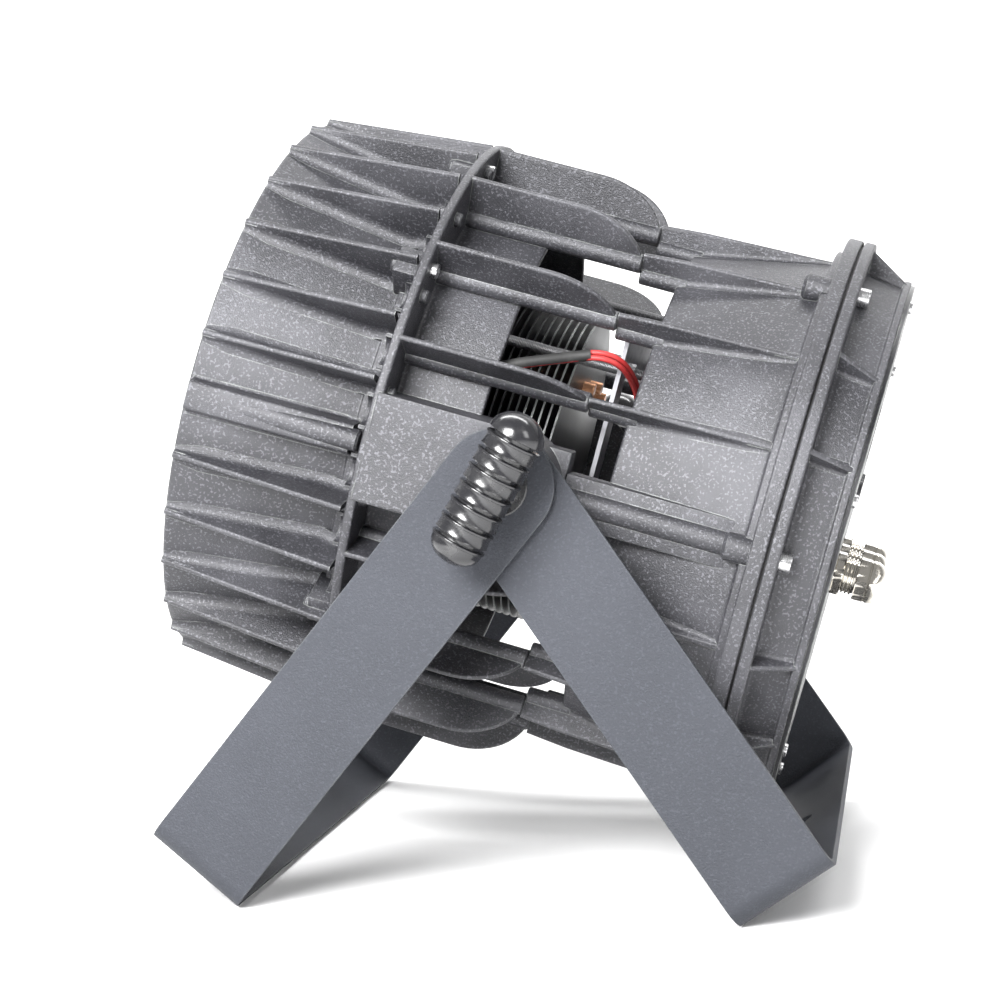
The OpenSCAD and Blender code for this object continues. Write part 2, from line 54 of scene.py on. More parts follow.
MM = 0.001
RECORD = frame["record"]
COLOURS = {m["slot"]: tuple(m["base_color"][:3]) for m in RECORD["materials"]}
SLOTS = {s["node"]: s["material_slot"] for s in RECORD["subparts"]}
JOINTS = {j["name"]: j for j in frame["joints"]}
PIVOT = Vector(JOINTS["head_tilt"]["pos_m"])
TILT = math.asin(JOINTS["button_1_press"]["axis"][2])
# The head's own frame: +X runs back along the light's axis, and the pivot is at its origin
HEAD = Matrix.Translation(PIVOT) @ Matrix.Rotation(TILT, 4, "Y")


# ---- Sizes and colours that a user would change ----
def length(label, text, default, low=0.0, high=1.0):
    """A setting in metres"""
    return bpy.props.FloatProperty(
        name=label, description=text, default=default, min=low, max=high, unit="LENGTH", precision=5
    )


def count(label, text, default, low=1, high=200):
    """A whole-number setting"""
    return bpy.props.IntProperty(name=label, description=text, default=default, min=low, max=high)


def share(label, text, default, low=0.0, high=1.0):
    """A setting from 0 to 1"""
    return bpy.props.FloatProperty(name=label, description=text, default=default, min=low, max=high)


def colour(label, text, default):
    """A colour setting"""
    return bpy.props.FloatVectorProperty(
        name=label, description=text, default=default, size=3, min=0.0, max=1.0, subtype="COLOR"
    )


class CastingSizes(bpy.types.PropertyGroup):
    """Sizes of the three castings"""

    edge: length("Edge radius", "Rounding of the castings' outer corners", 0.0009, 0.0002, 0.002)
    fillet: length("Root fillet", "Fillet where a barrel fin grows out of the wall", 0.0042, 0.0005, 0.006)
    fin: length("Fin thickness", "Thickness of a fin at its tip", 0.0026, 0.001, 0.005)
    barrel_places: count("Barrel places", "Fin places round the front barrel", 30, 12, 48)
    cage_places: count("Cage places", "Fin places round the cage and rear housing", 18, 8, 36)


class StandSizes(bpy.types.PropertyGroup):
    """Sizes of the straps and the clamping knobs"""

    width: length("Strap width", "Width of the flat steel strap", 0.049, 0.03, 0.06)
    thickness: length("Strap thickness", "Thickness of the flat steel strap", 0.0028, 0.002, 0.005)
    bend: length("Bend radius", "Outside radius of the strap's bends", 0.010, 0.004, 0.02)
    grip: length("Grip length", "Length of a clamping knob's grip", 0.070, 0.04, 0.08)
    grip_d: length("Grip diameter", "Diameter of a clamping knob's grip", 0.0245, 0.015, 0.03)
    grooves: count("Grip grooves", "Grooves round a clamping knob's grip", 7, 3, 12)


# The straps are coated darker than the record's plain colour
STRAP_COLOUR = tuple(c * 0.6 for c in COLOURS["bar_paint"])


class FinishSettings(bpy.types.PropertyGroup):
    """Colours and wear of the finishes"""

    casting: colour("Casting colour", "Powder coat on the castings", COLOURS["cast_black"])
    strap: colour("Strap colour", "Powder coat on the straps", STRAP_COLOUR)
    worn: colour("Worn colour", "Metal that shows at handled edges", (0.36, 0.38, 0.36))
    wear: share("Wear", "How much of the coat is worn at the edges", 0.55)
    grain: length("Grain size", "Size of the coat's fine texture", 0.0007, 0.0001, 0.003)


class PartSettings(bpy.types.PropertyGroup):
    """All settings of the light"""

    casting: bpy.props.PointerProperty(type=CastingSizes, name="Castings")
    stand: bpy.props.PointerProperty(type=StandSizes, name="Stand")
    finish: bpy.props.PointerProperty(type=FinishSettings, name="Finishes")


def settings():
    """The scene's settings of the light"""
    return bpy.context.scene.par_can


# ---- Mesh helpers, in millimetres in the part's own frame ----
def made(name, bm, smooth=32.0):
    """A mesh object from bmesh, with faces outward and smooth shading up to an angle"""
    bmesh.ops.recalc_face_normals(bm, faces=bm.faces)
    mesh = bpy.data.meshes.new(name)
    bm.to_mesh(mesh)
    bm.free()
    mesh.shade_smooth()
    mesh.set_sharp_from_angle(angle=math.radians(smooth))
    obj = bpy.data.objects.new(name, mesh)
    bpy.context.scene.collection.objects.link(obj)
    return obj


def hexagon(angle, flats):
    """Radius of a hexagon's outline at an angle"""
    turn = (angle + math.pi / 6) % (math.pi / 3) - math.pi / 6
    return flats / 2 / math.cos(turn)


def bridge(bm, a, b):
    """Faces between two rings, either of which may be a single point on the axis"""
    if len(a) == 1 and len(b) == 1:
        return
    n = max(len(a), len(b))
    for k in range(n):
        corners = [a[k % len(a)], a[(k + 1) % len(a)], b[(k + 1) % len(b)], b[k % len(b)]]
        bm.faces.new([v for i, v in enumerate(corners) if v not in corners[:i]])


def turned(name, rows, segments=96, smooth=32.0):
    """A solid turned about X, from rows of (place, radius) or (place, radius, hexagon's flats)"""
    bm = bmesh.new()
    rings = []
    for row in rows:
        place, radius = row[0], row[1]
        if radius < 1e-6:
            rings.append([bm.verts.new((place * MM, 0, 0))])
            continue
        ring = []
        for k in range(segments):
            angle = math.tau * k / segments
            r = min(radius, hexagon(angle, row[2])) if len(row) > 2 else radius
            ring.append(bm.verts.new((place * MM, r * math.sin(angle) * MM, r * math.cos(angle) * MM)))
        rings.append(ring)
    for a, b in zip(rings, rings[1:] + rings[:1]):
        bridge(bm, a, b)
    return made(name, bm, smooth)


# Distance from a rounded corner to the point that keeps the next face's shading flat
SUPPORT = 0.5


def rounded(points, radius, steps=3):
    """A closed outline with its corners rounded. A point's third value is its own radius"""
    out = []
    for i, point in enumerate(points):
        p = Vector(point[:2])
        u = Vector(points[i - 1][:2]) - p
        v = Vector(points[(i + 1) % len(points)][:2]) - p
        r = point[2] if len(point) > 2 else radius
        turn = u.angle(v)
        if r <= 0 or turn > math.pi - 0.1:
            out.append(tuple(p))
            continue
        reach = min(r / math.tan(turn / 2), u.length * 0.48, v.length * 0.48)
        middle = p + (u.normalized() + v.normalized()).normalized() * reach / math.cos(turn / 2)
        start, end = p + u.normalized() * reach - middle, p + v.normalized() * reach - middle
        sweep = math.atan2(start.x * end.y - start.y * end.x, start.dot(end))
        if u.length > 3 * (reach + SUPPORT):
            out.append(tuple(p + u.normalized() * (reach + SUPPORT)))
        for k in range(steps + 1):
            c, s = math.cos(sweep * k / steps), math.sin(sweep * k / steps)
            out.append((middle.x + start.x * c - start.y * s, middle.y + start.x * s + start.y * c))
        if v.length > 3 * (reach + SUPPORT):
            out.append(tuple(p + v.normalized() * (reach + SUPPORT)))
    return out


def rim(name, points, radius=None, segments=180):
    """A casting's body of revolution, from an outline of (place, radius) with rounded corners"""
    edge = settings().casting.edge / MM if radius is None else radius
    return turned(name, rounded(points, edge), segments)


def ridge(name, places, foot, crest, half, fillet, tip=0.7, flare=0.0):
    """A rib along X that stands on a wall: foot and crest give its radii at each place"""
    bm = bmesh.new()
    sections = []
    for x in places:
        base, top = foot(x), crest(x)
        height = max(top - base, 0.05)
        root = min(fillet, height * 0.7)
        round_r = min(tip, half * 0.95, height * 0.3)
        low = half + flare
        side = [(low + root, base - 0.8)]
        for k in range(4):
            t = math.pi / 2 * k / 3
            side.append((low + root - root * math.sin(t), base + root - root * math.cos(t)))
        flank = top - round_r - base - root
        side += [(low, base + root + flank * 0.06), (half, top - round_r - flank * 0.06)]
        for k in range(4):
            t = math.pi / 2 * k / 3
            side.append((half - round_r + round_r * math.cos(t), top - round_r + round_r * math.sin(t)))
        outline = side + [(-y, z) for y, z in reversed(side)]
        sections.append([bm.verts.new((x * MM, y * MM, z * MM)) for y, z in outline])
    for a, b in zip(sections, sections[1:]):
        bridge(bm, a, b)
    bm.faces.new(sections[0])
    bm.faces.new(sections[-1])
    return made(name, bm)


def block(name, low, high, edge=0.6):
    """A box with rounded edges, from its lowest to its highest corner"""
    bm = bmesh.new()
    bmesh.ops.create_cube(bm, size=1.0)
    for v in bm.verts:
        v.co = Vector(((b + a) / 2 + c * (b - a) for a, b, c in zip(low, high, v.co))) * MM
    bmesh.ops.bevel(bm, geom=bm.edges[:], offset=edge * MM, segments=2, affect="EDGES", profile=0.5)
    return made(name, bm)


def plate(name, outlines, thickness, edge=0.4):
    """A flat plate in XY with rounded edges, from an outer outline and its holes"""
    flat = bpy.data.curves.new(name, "CURVE")
    flat.dimensions = "2D"
    flat.fill_mode = "BOTH"
    flat.extrude = (thickness / 2 - edge) * MM
    flat.bevel_depth = edge * MM
    flat.bevel_resolution = 1
    flat.offset = -edge * MM
    for points in outlines:
        spline = flat.splines.new("POLY")
        spline.points.add(len(points) - 1)
        for target, (x, y) in zip(spline.points, points):
            target.co = (x * MM, y * MM, 0, 1)
        spline.use_cyclic_u = True
    obj = bpy.data.objects.new(name, flat)
    bpy.context.scene.collection.objects.link(obj)
    solid = plain(obj, name)
    bm = bmesh.new()
    bm.from_mesh(solid.data)
    bmesh.ops.remove_doubles(bm, verts=bm.verts, dist=0.00002)
    bpy.data.objects.remove(solid)
    return made(name, bm, 20)


def circle(x, y, r, points=48):
    """A hole's or boss's outline"""
    turns = [math.tau * k / points for k in range(points)]
    return [(x + r * math.cos(t), y + r * math.sin(t)) for t in turns]


def plain(obj, name):
    """The evaluated object as a plain mesh object, which takes its place"""
    bpy.context.view_layer.update()
    evaluated = obj.evaluated_get(bpy.context.evaluated_depsgraph_get())
    mesh = bpy.data.meshes.new_from_object(evaluated)
    bpy.data.objects.remove(obj)
    result = bpy.data.objects.new(name, mesh)
    bpy.context.scene.collection.objects.link(result)
    return result


def placed(obj, matrix):
    """Moves a piece's mesh, so that its object stays at the origin"""
    obj.data.transform(matrix)
    if matrix.determinant() < 0:
        obj.data.flip_normals()
    return obj


def joined(name, parts):
    """One object from several, without moving them"""
    bm = bmesh.new()
    for part in parts:
        bm.from_mesh(part.data)
        bpy.data.objects.remove(part)
    mesh = bpy.data.meshes.new(name)
    bm.to_mesh(mesh)
    bm.free()
    obj = bpy.data.objects.new(name, mesh)
    bpy.context.scene.collection.objects.link(obj)
    return obj


def shift(x, y, z):
    """A move in millimetres"""
    return Matrix.Translation(Vector((x, y, z)) * MM)


# ---- Geometry Nodes: a seed shape set at equal steps about the light's axis ----
def socket(tree, label, kind, value=None, output=False):
    """Adds a named input or output to a node tree"""
    side = "OUTPUT" if output else "INPUT"
    made_socket = tree.interface.new_socket(name=label, in_out=side, socket_type="NodeSocket" + kind)
    if value is not None:
        made_socket.default_value = value


def ring_tree():
    """Places copies of the seed at Start + index x Step, leaving out every Skip-th place"""
    name = "Ring of parts"
    if name in bpy.data.node_groups:
        return bpy.data.node_groups[name]
    tree = bpy.data.node_groups.new(name, "GeometryNodeTree")
    socket(tree, "Seed", "Geometry")
    socket(tree, "Count", "Int", 8)
    socket(tree, "Start", "Float", 0.0)
    socket(tree, "Step", "Float", 0.5)
    socket(tree, "Skip", "Int", 0)
    socket(tree, "Skip Offset", "Int", 0)
    socket(tree, "Material", "Material")
    socket(tree, "Parts", "Geometry", output=True)
    nodes, links = tree.nodes, tree.links
    source, sink = nodes.new("NodeGroupInput"), nodes.new("NodeGroupOutput")
    line = nodes.new("GeometryNodeMeshLine")
    line.inputs["Offset"].default_value = (0, 0, 0)
    links.new(source.outputs["Count"], line.inputs["Count"])
    index = nodes.new("GeometryNodeInputIndex")
    turn = math_node(tree, "MULTIPLY_ADD", index.outputs[0], source.outputs["Step"], source.outputs["Start"])
    flip = math_node(tree, "SUBTRACT", math.pi / 2, turn)
    rotation = nodes.new("ShaderNodeCombineXYZ")
    links.new(flip, rotation.inputs["X"])
    moved = math_node(tree, "ADD", index.outputs[0], source.outputs["Skip Offset"])
    every = math_node(tree, "MAXIMUM", source.outputs["Skip"], 1.0)
    wrapped = math_node(tree, "FLOORED_MODULO", moved, every)
    kept = math_node(tree, "GREATER_THAN", wrapped, 0.5)
    none = math_node(tree, "LESS_THAN", source.outputs["Skip"], 0.5)
    chosen = math_node(tree, "MAXIMUM", kept, none)
    copies = nodes.new("GeometryNodeInstanceOnPoints")
    links.new(line.outputs["Mesh"], copies.inputs["Points"])
    links.new(chosen, copies.inputs["Selection"])
    links.new(source.outputs["Seed"], copies.inputs["Instance"])
    links.new(rotation.outputs[0], copies.inputs["Rotation"])
    real = nodes.new("GeometryNodeRealizeInstances")
    links.new(copies.outputs[0], real.inputs[0])
    finish_node = nodes.new("GeometryNodeSetMaterial")
    links.new(real.outputs[0], finish_node.inputs["Geometry"])
    links.new(source.outputs["Material"], finish_node.inputs["Material"])
    links.new(finish_node.outputs[0], sink.inputs["Parts"])
    return tree


def feed(tree, target, value):
    """Sets an input to a number, or links it to an output"""
    if isinstance(value, (int, float)):
        target.default_value = value
    else:
        tree.links.new(value, target)


def math_node(tree, operation, *values):
    """A Math node fed with numbers or outputs"""
    node = tree.nodes.new("ShaderNodeMath")
    node.operation = operation
    for target, value in zip(node.inputs, values):
        feed(tree, target, value)
    return node.outputs[0]


def ring_of(seed, number, start, step, skip=0, offset=0, slot="cast_black"):
    """The seed repeated about the axis, as one plain mesh, without every skip-th. Angles are in degrees"""
    name = seed.name
    seed.name = name + "_seed"
    tree = ring_tree()
    modifier = seed.modifiers.new("Ring", "NODES")
    modifier.node_group = tree
    values = {
        "Count": number,
        "Start": math.radians(start),
        "Step": math.radians(step),
        "Skip": skip,
        "Skip Offset": offset,
        "Material": finish(slot),
    }
    for item in tree.interface.items_tree:
        if item.item_type == "SOCKET" and item.in_out == "INPUT" and item.name in values:
            modifier[item.identifier] = values[item.name]
    return plain(seed, name)


def show(obj, slot, body, node):
    """Gives a finished piece its finish, its body and the CAD node that it stands for"""
    obj.data.materials.clear()
    obj.data.materials.append(finish(slot))
    for polygon in obj.data.polygons:
        polygon.material_index = 0
    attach(obj, body)
    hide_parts(node)
    return obj


def head_piece(node, parts, slot="cast_black", name=None):
    """Joins parts drawn in the head's frame and stands them on the pivot, in place of a CAD node"""
    name = name or node + "_finished"
    obj = joined(name, parts) if len(parts) > 1 else parts[0]
    obj.name = name
    return show(placed(obj, HEAD), slot, "head", node)


# ---- Finishes: shader groups shared by the materials ----
def shader_group(name, inputs):
    """A shader group with named inputs, which puts out a colour, a roughness and a normal"""
    tree = bpy.data.node_groups.new(name, "ShaderNodeTree")
    for label, kind, value in inputs:
        socket(tree, label, kind, value)
    for label, kind in (("Color", "Color"), ("Roughness", "Float"), ("Normal", "Vector")):
        socket(tree, label, kind, output=True)
    return tree, tree.nodes.new("NodeGroupInput"), tree.nodes.new("NodeGroupOutput")


def noise(tree, vector, scale, detail=3.0, roughness=0.5):
    """Noise from 0 to 1 over the surface"""
    node = tree.nodes.new("ShaderNodeTexNoise")
    tree.links.new(vector, node.inputs["Vector"])
    node.inputs["Detail"].default_value = detail
    node.inputs["Roughness"].default_value = roughness
    feed(tree, node.inputs["Scale"], scale)
    return node.outputs["Fac"]


def ramp(tree, value, low, high):
    """0 below the low value, 1 above the high one, and smooth between"""
    node = tree.nodes.new("ShaderNodeMapRange")
    node.interpolation_type = "SMOOTHSTEP"
    tree.links.new(value, node.inputs["Value"])
    node.inputs["From Min"].default_value = low
    node.inputs["From Max"].default_value = high
    return node.outputs["Result"]


def blend_colour(tree, amount, a, b):
    """Colour a at amount 0, colour b at amount 1"""
    node = tree.nodes.new("ShaderNodeMix")
    node.data_type = "RGBA"
    # Sockets 0, 6, 7 and 2 are the factor, the two colours and the result of a colour mix
    for target, value in zip((node.inputs[0], node.inputs[6], node.inputs[7]), (amount, a, b)):
        tree.links.new(value, target)
    return node.outputs[2]


def bump(tree, height, depth):
    """A normal raised by a height from 0 to 1 times the depth in metres"""
    node = tree.nodes.new("ShaderNodeBump")
    tree.links.new(height, node.inputs["Height"])
    tree.links.new(depth, node.inputs["Distance"])
    return node.outputs["Normal"]


def edge_mask(tree, radius):
    """1 along outer edges, from how far the rounded normal leans off the true one"""
    nodes, links = tree.nodes, tree.links
    soft = nodes.new("ShaderNodeBevel")
    soft.samples = 4
    soft.inputs["Radius"].default_value = radius
    true = nodes.new("ShaderNodeNewGeometry")
    dot = nodes.new("ShaderNodeVectorMath")
    dot.operation = "DOT_PRODUCT"
    links.new(soft.outputs[0], dot.inputs[0])
    links.new(true.outputs["Normal"], dot.inputs[1])
    return math_node(tree, "SUBTRACT", 1.0, dot.outputs["Value"])


def coat_group():
    """Fine-texture powder coat: grain, flecks, cloudy tone and edges worn by handling"""
    name = "Powder coat"
    if name in bpy.data.node_groups:
        return bpy.data.node_groups[name]
    tree, source, sink = shader_group(
        name,
        (
            ("Paint", "Color", (0.03, 0.03, 0.035, 1)),
            ("Fleck", "Color", (0.1, 0.1, 0.11, 1)),
            ("Worn", "Color", (0.36, 0.38, 0.36, 1)),
            ("Grain Scale", "Float", 1400.0),
            ("Grain Depth", "Float", 0.0001),
            ("Fleck Amount", "Float", 0.5),
            ("Wear", "Float", 0.5),
            ("Roughness", "Float", 0.42),
        ),
    )
    place = tree.nodes.new("ShaderNodeTexCoord").outputs["Object"]
    grain = noise(tree, place, source.outputs["Grain Scale"], 4.0, 0.6)
    flecks = ramp(tree, noise(tree, place, 900.0, 2.0, 0.4), 0.56, 0.66)
    clouds = noise(tree, place, 22.0, 3.0, 0.55)
    fleck_share = math_node(tree, "MULTIPLY", flecks, source.outputs["Fleck Amount"])
    tinted = blend_colour(tree, fleck_share, source.outputs["Paint"], source.outputs["Fleck"])
    cloud_share = math_node(tree, "MULTIPLY", ramp(tree, clouds, 0.4, 0.7), 0.22)
    toned = blend_colour(tree, cloud_share, tinted, source.outputs["Fleck"])
    rubbed = ramp(tree, noise(tree, place, 65.0, 4.0, 0.65), 0.3, 0.62)
    edge = ramp(tree, edge_mask(tree, 0.0009), 0.03, 0.2)
    worn = math_node(tree, "MULTIPLY", math_node(tree, "MULTIPLY", edge, rubbed), source.outputs["Wear"])
    tree.links.new(blend_colour(tree, worn, toned, source.outputs["Worn"]), sink.inputs["Color"])
    rough = math_node(tree, "MULTIPLY_ADD", clouds, 0.14, source.outputs["Roughness"])
    tree.links.new(math_node(tree, "MULTIPLY_ADD", worn, -0.12, rough), sink.inputs["Roughness"])
    tree.links.new(bump(tree, grain, source.outputs["Grain Depth"]), sink.inputs["Normal"])
    return tree


def metal_group():
    """Plated or machined metal: fine marks along one way, small stains and dull spots"""
    name = "Worked metal"
    if name in bpy.data.node_groups:
        return bpy.data.node_groups[name]
    tree, source, sink = shader_group(
        name,
        (
            ("Metal", "Color", (0.6, 0.6, 0.6, 1)),
            ("Stain", "Color", (0.3, 0.28, 0.25, 1)),
            ("Mark Scale", "Vector", (4000.0, 300.0, 300.0)),
            ("Mark Depth", "Float", 0.00003),
            ("Roughness", "Float", 0.25),
        ),
    )
    place = tree.nodes.new("ShaderNodeTexCoord").outputs["Object"]
    stretch = tree.nodes.new("ShaderNodeVectorMath")
    stretch.operation = "MULTIPLY"
    tree.links.new(place, stretch.inputs[0])
    tree.links.new(source.outputs["Mark Scale"], stretch.inputs[1])
    marks = noise(tree, stretch.outputs[0], 1.0, 3.0, 0.6)
    stains = ramp(tree, noise(tree, place, 120.0, 4.0, 0.6), 0.5, 0.75)
    stain_share = math_node(tree, "MULTIPLY", stains, 0.5)
    tone = blend_colour(tree, stain_share, source.outputs["Metal"], source.outputs["Stain"])
    tree.links.new(tone, sink.inputs["Color"])
    rough = math_node(tree, "MULTIPLY_ADD", marks, 0.16, source.outputs["Roughness"])
    tree.links.new(math_node(tree, "MULTIPLY_ADD", stains, 0.15, rough), sink.inputs["Roughness"])
    tree.links.new(bump(tree, marks, source.outputs["Mark Depth"]), sink.inputs["Normal"])
    return tree


def moulded_group():
    """Moulded plastic or rubber: a faint skin, dust in patches and rubbed edges"""
    name = "Moulded skin"
    if name in bpy.data.node_groups:
        return bpy.data.node_groups[name]
    tree, source, sink = shader_group(
        name,
        (
            ("Body", "Color", (0.02, 0.02, 0.02, 1)),
            ("Dust", "Color", (0.25, 0.25, 0.24, 1)),
            ("Dust Amount", "Float", 0.1),
            ("Skin Scale", "Float", 900.0),
            ("Skin Depth", "Float", 0.00003),
            ("Roughness", "Float", 0.3),
        ),
    )
    place = tree.nodes.new("ShaderNodeTexCoord").outputs["Object"]
    skin = noise(tree, place, source.outputs["Skin Scale"], 3.0, 0.5)
    patches = ramp(tree, noise(tree, place, 70.0, 5.0, 0.65), 0.45, 0.8)
    edge = ramp(tree, edge_mask(tree, 0.0006), 0.04, 0.3)
    dust = math_node(tree, "MULTIPLY", math_node(tree, "ADD", patches, edge), source.outputs["Dust Amount"])
    tone = blend_colour(tree, dust, source.outputs["Body"], source.outputs["Dust"])
    tree.links.new(tone, sink.inputs["Color"])
    rough = math_node(tree, "MULTIPLY_ADD", patches, 0.18, source.outputs["Roughness"])
    tree.links.new(rough, sink.inputs["Roughness"])
    tree.links.new(bump(tree, skin, source.outputs["Skin Depth"]), sink.inputs["Normal"])
    return tree


GROUPS = {"coat": coat_group, "metal": metal_group, "moulded": moulded_group}
# Roughness of each metal and each moulded finish
METALS = {
    "bright_steel": 0.2, "zinc_rod": 0.3, "nickel": 0.1, "reflector_metal": 0.04, "spreader_metal": 0.3,
    "copper": 0.28, "bracket_steel": 0.3, "supply_metal": 0.3, "post_brass": 0.3,
}
MOULDED = {
    "knob_black": 0.2, "seal_rubber": 0.6, "cable_red": 0.45, "display_dark": 0.12, "clear_glass": 0.02,
    "window_clear": 0.05, "led_phosphor": 0.5,
}
OTHER_ROUGHNESS = 0.4
SKIN_DEPTH = {"seal_rubber": 0.0001, "clear_glass": 0.0, "window_clear": 0.0}
OTHER_SKIN_DEPTH = 0.00003


def coat(paint, fleck, amount, fineness, depth, wear, roughness):
    """Values of the powder coat. Fineness divides the size of the grain"""
    ours = settings().finish
    return {
        "Paint": (*paint, 1.0), "Fleck": (*fleck, 1.0), "Worn": (*ours.worn, 1.0),
        "Grain Scale": 1.0 / ours.grain * fineness, "Grain Depth": depth, "Fleck Amount": amount,
        "Wear": wear, "Roughness": roughness,
    }


def recipe(slot):
    """The group, its values and the Principled BSDF's own values for a slot"""
    ours = settings().finish
    tone = COLOURS[slot]
    if slot == "cast_black":
        values = coat(ours.casting, (0.16, 0.16, 0.18), 0.5, 1.0, 0.00035, ours.wear, 0.41)
        return "coat", values, {"Metallic": 0.3, "Specular IOR Level": 0.95}
    if slot == "bar_paint":
        values = coat(ours.strap, (0.07, 0.074, 0.088), 0.5, 0.8, 0.0005, ours.wear * 0.8, 0.5)
        return "coat", values, {"Metallic": 0.3, "Specular IOR Level": 0.3}
    if slot in ("plate_black", "sheet_black"):
        values = coat(tone, (0.07, 0.07, 0.075), 0.2, 1.6, 0.00005, 0.8, 0.3)
        return "coat", values, {"Metallic": 0.4, "Specular IOR Level": 0.5}
    if slot in METALS:
        values = {
            "Metal": (*tone, 1.0), "Stain": (*(c * 0.5 for c in tone), 1.0),
            "Mark Scale": (3000.0, 500.0, 500.0), "Mark Depth": 0.00004, "Roughness": METALS[slot],
        }
        return "metal", values, {"Metallic": 1.0}
    clear = "clear" in slot
    values = {
        "Body": (*tone, 1.0), "Dust": (0.3, 0.3, 0.29, 1.0), "Dust Amount": 0.02 if clear else 0.1,
        "Skin Scale": 900.0, "Skin Depth": SKIN_DEPTH.get(slot, OTHER_SKIN_DEPTH),
        "Roughness": MOULDED.get(slot, OTHER_ROUGHNESS),
    }
    own = {"Specular IOR Level": 0.5}
    if clear:
        own = {"Transmission Weight": 0.95, "IOR": 1.5}
    if slot == "knob_black":
        own = {"Specular IOR Level": 0.6, "Coat Weight": 0.3, "Coat Roughness": 0.15}
    return "moulded", values, own


def finish(slot):
    """The material of one of the record's slots. The frame's own materials have the slots' names"""
    name = slot + "_finish"
    if name in bpy.data.materials:
        return bpy.data.materials[name]
    material = bpy.data.materials.new(name)
    material.use_nodes = True
    material.diffuse_color = (*COLOURS[slot], 1.0)
    tree = material.node_tree
    shader = tree.nodes["Principled BSDF"]
    kind, values, own = recipe(slot)
    group = tree.nodes.new("ShaderNodeGroup")
    group.node_tree = GROUPS[kind]()
    for key, value in values.items():
        group.inputs[key].default_value = value
    for key, value in own.items():
        shader.inputs[key].default_value = value
    tree.links.new(group.outputs["Color"], shader.inputs["Base Color"])
    tree.links.new(group.outputs["Roughness"], shader.inputs["Roughness"])
    tree.links.new(group.outputs["Normal"], shader.inputs["Normal"])
    return material


# ---- Front barrel. From here on, places and radii are millimetres in the head's frame ----
RIM_FRONT, RIM_R = -148.5, 133.0
CONE_END, CONE_END_R = -73.0, 120.0
BARREL_REAR, SEAT_R = -64.0, 123.0
FLANGE_R = 144.0
# Where the crests of the fins and side spines start and end
FIN_START, FIN_END = -147.9, -66.0
LUG_R, POCKET_R, BEZEL_SCREW_R = 133.5, 131.5, 123.0
BEZEL_FRONT, BEZEL_BACK = -128.5, -125.5
# The reflector's bowl opens forward from its throat on a square-root curve
BOWL_BACK, BOWL_DEPTH, BOWL_STEPS = -68.0, 44.5, 24
BOWL_THROAT, BOWL_SPREAD, BOWL_WALL = 19.0, 89.0, 1.4


def between(x, start, end):
    """Radius at x on the straight line between two points of (place, radius)"""
    return start[1] + (x - start[0]) * (end[1] - start[1]) / (end[0] - start[0])


def barrel_wall(x):
    """Outer radius of the barrel's cone, then of its flange"""
    if x > CONE_END:
        return SEAT_R
    return between(x, (RIM_FRONT, RIM_R), (CONE_END, CONE_END_R))


def barrel_crest(x):
    """Radius of a barrel fin's crest"""
    return between(x, (FIN_START, 135.8), (FIN_END, 143.4))


def spine_crest(x):
    """Radius of a side spine's crest"""
    return between(x, (FIN_START, 138.5), (FIN_END, 133.0))


def steps(a, b, number):
    """Values from a to b, in equal steps"""
    return [a + (b - a) * k / number for k in range(number + 1)]


def cap_screw(name, head_r, height, key, depth):
    """A socket head that faces +X, with its foot at x = 0"""
    rows = [
        (-1.5, 0), (-1.5, head_r * 0.55), (0, head_r * 0.55), (0, head_r), (height - 0.5, head_r),
        (height - 0.12, head_r - 0.14), (height, head_r - 0.5), (height, key * 0.66),
        (height - 0.25, 9, key), (height - depth, 9, key), (height - depth, 0),
    ]
    return turned(name, rows, 48)


def half_ring(name, outer, inner, x0, x1):
    """The curved wall of a pocket, open away from the axis"""
    arc = [math.radians(t) for t in steps(180, 360, 16)]
    points = [(outer * math.cos(t), outer * math.sin(t)) for t in arc]
    points += [(inner * math.cos(t), inner * math.sin(t)) for t in reversed(arc)]
    obj = plate(name, [points], x1 - x0, 0.3)
    turn = Matrix(((0, 0, 1, 0), (1, 0, 0, 0), (0, 1, 0, 0), (0, 0, 0, 1)))
    return placed(obj, shift((x0 + x1) / 2, 0, 0) @ turn)


def both_sides(seed):
    """The seed on the near and the far side"""
    return ring_of(seed, 2, 0, 180)


def between_sides(seed, places):
    """The seed all round, except at the two sides, where a spine or a pad stands"""
    return ring_of(seed, places, 0, 360 / places, places // 2)


def at_lugs(seed, slot="cast_black"):
    """The seed at the eight screw lugs"""
    return ring_of(seed, 10, 0, 36, 5, slot=slot)


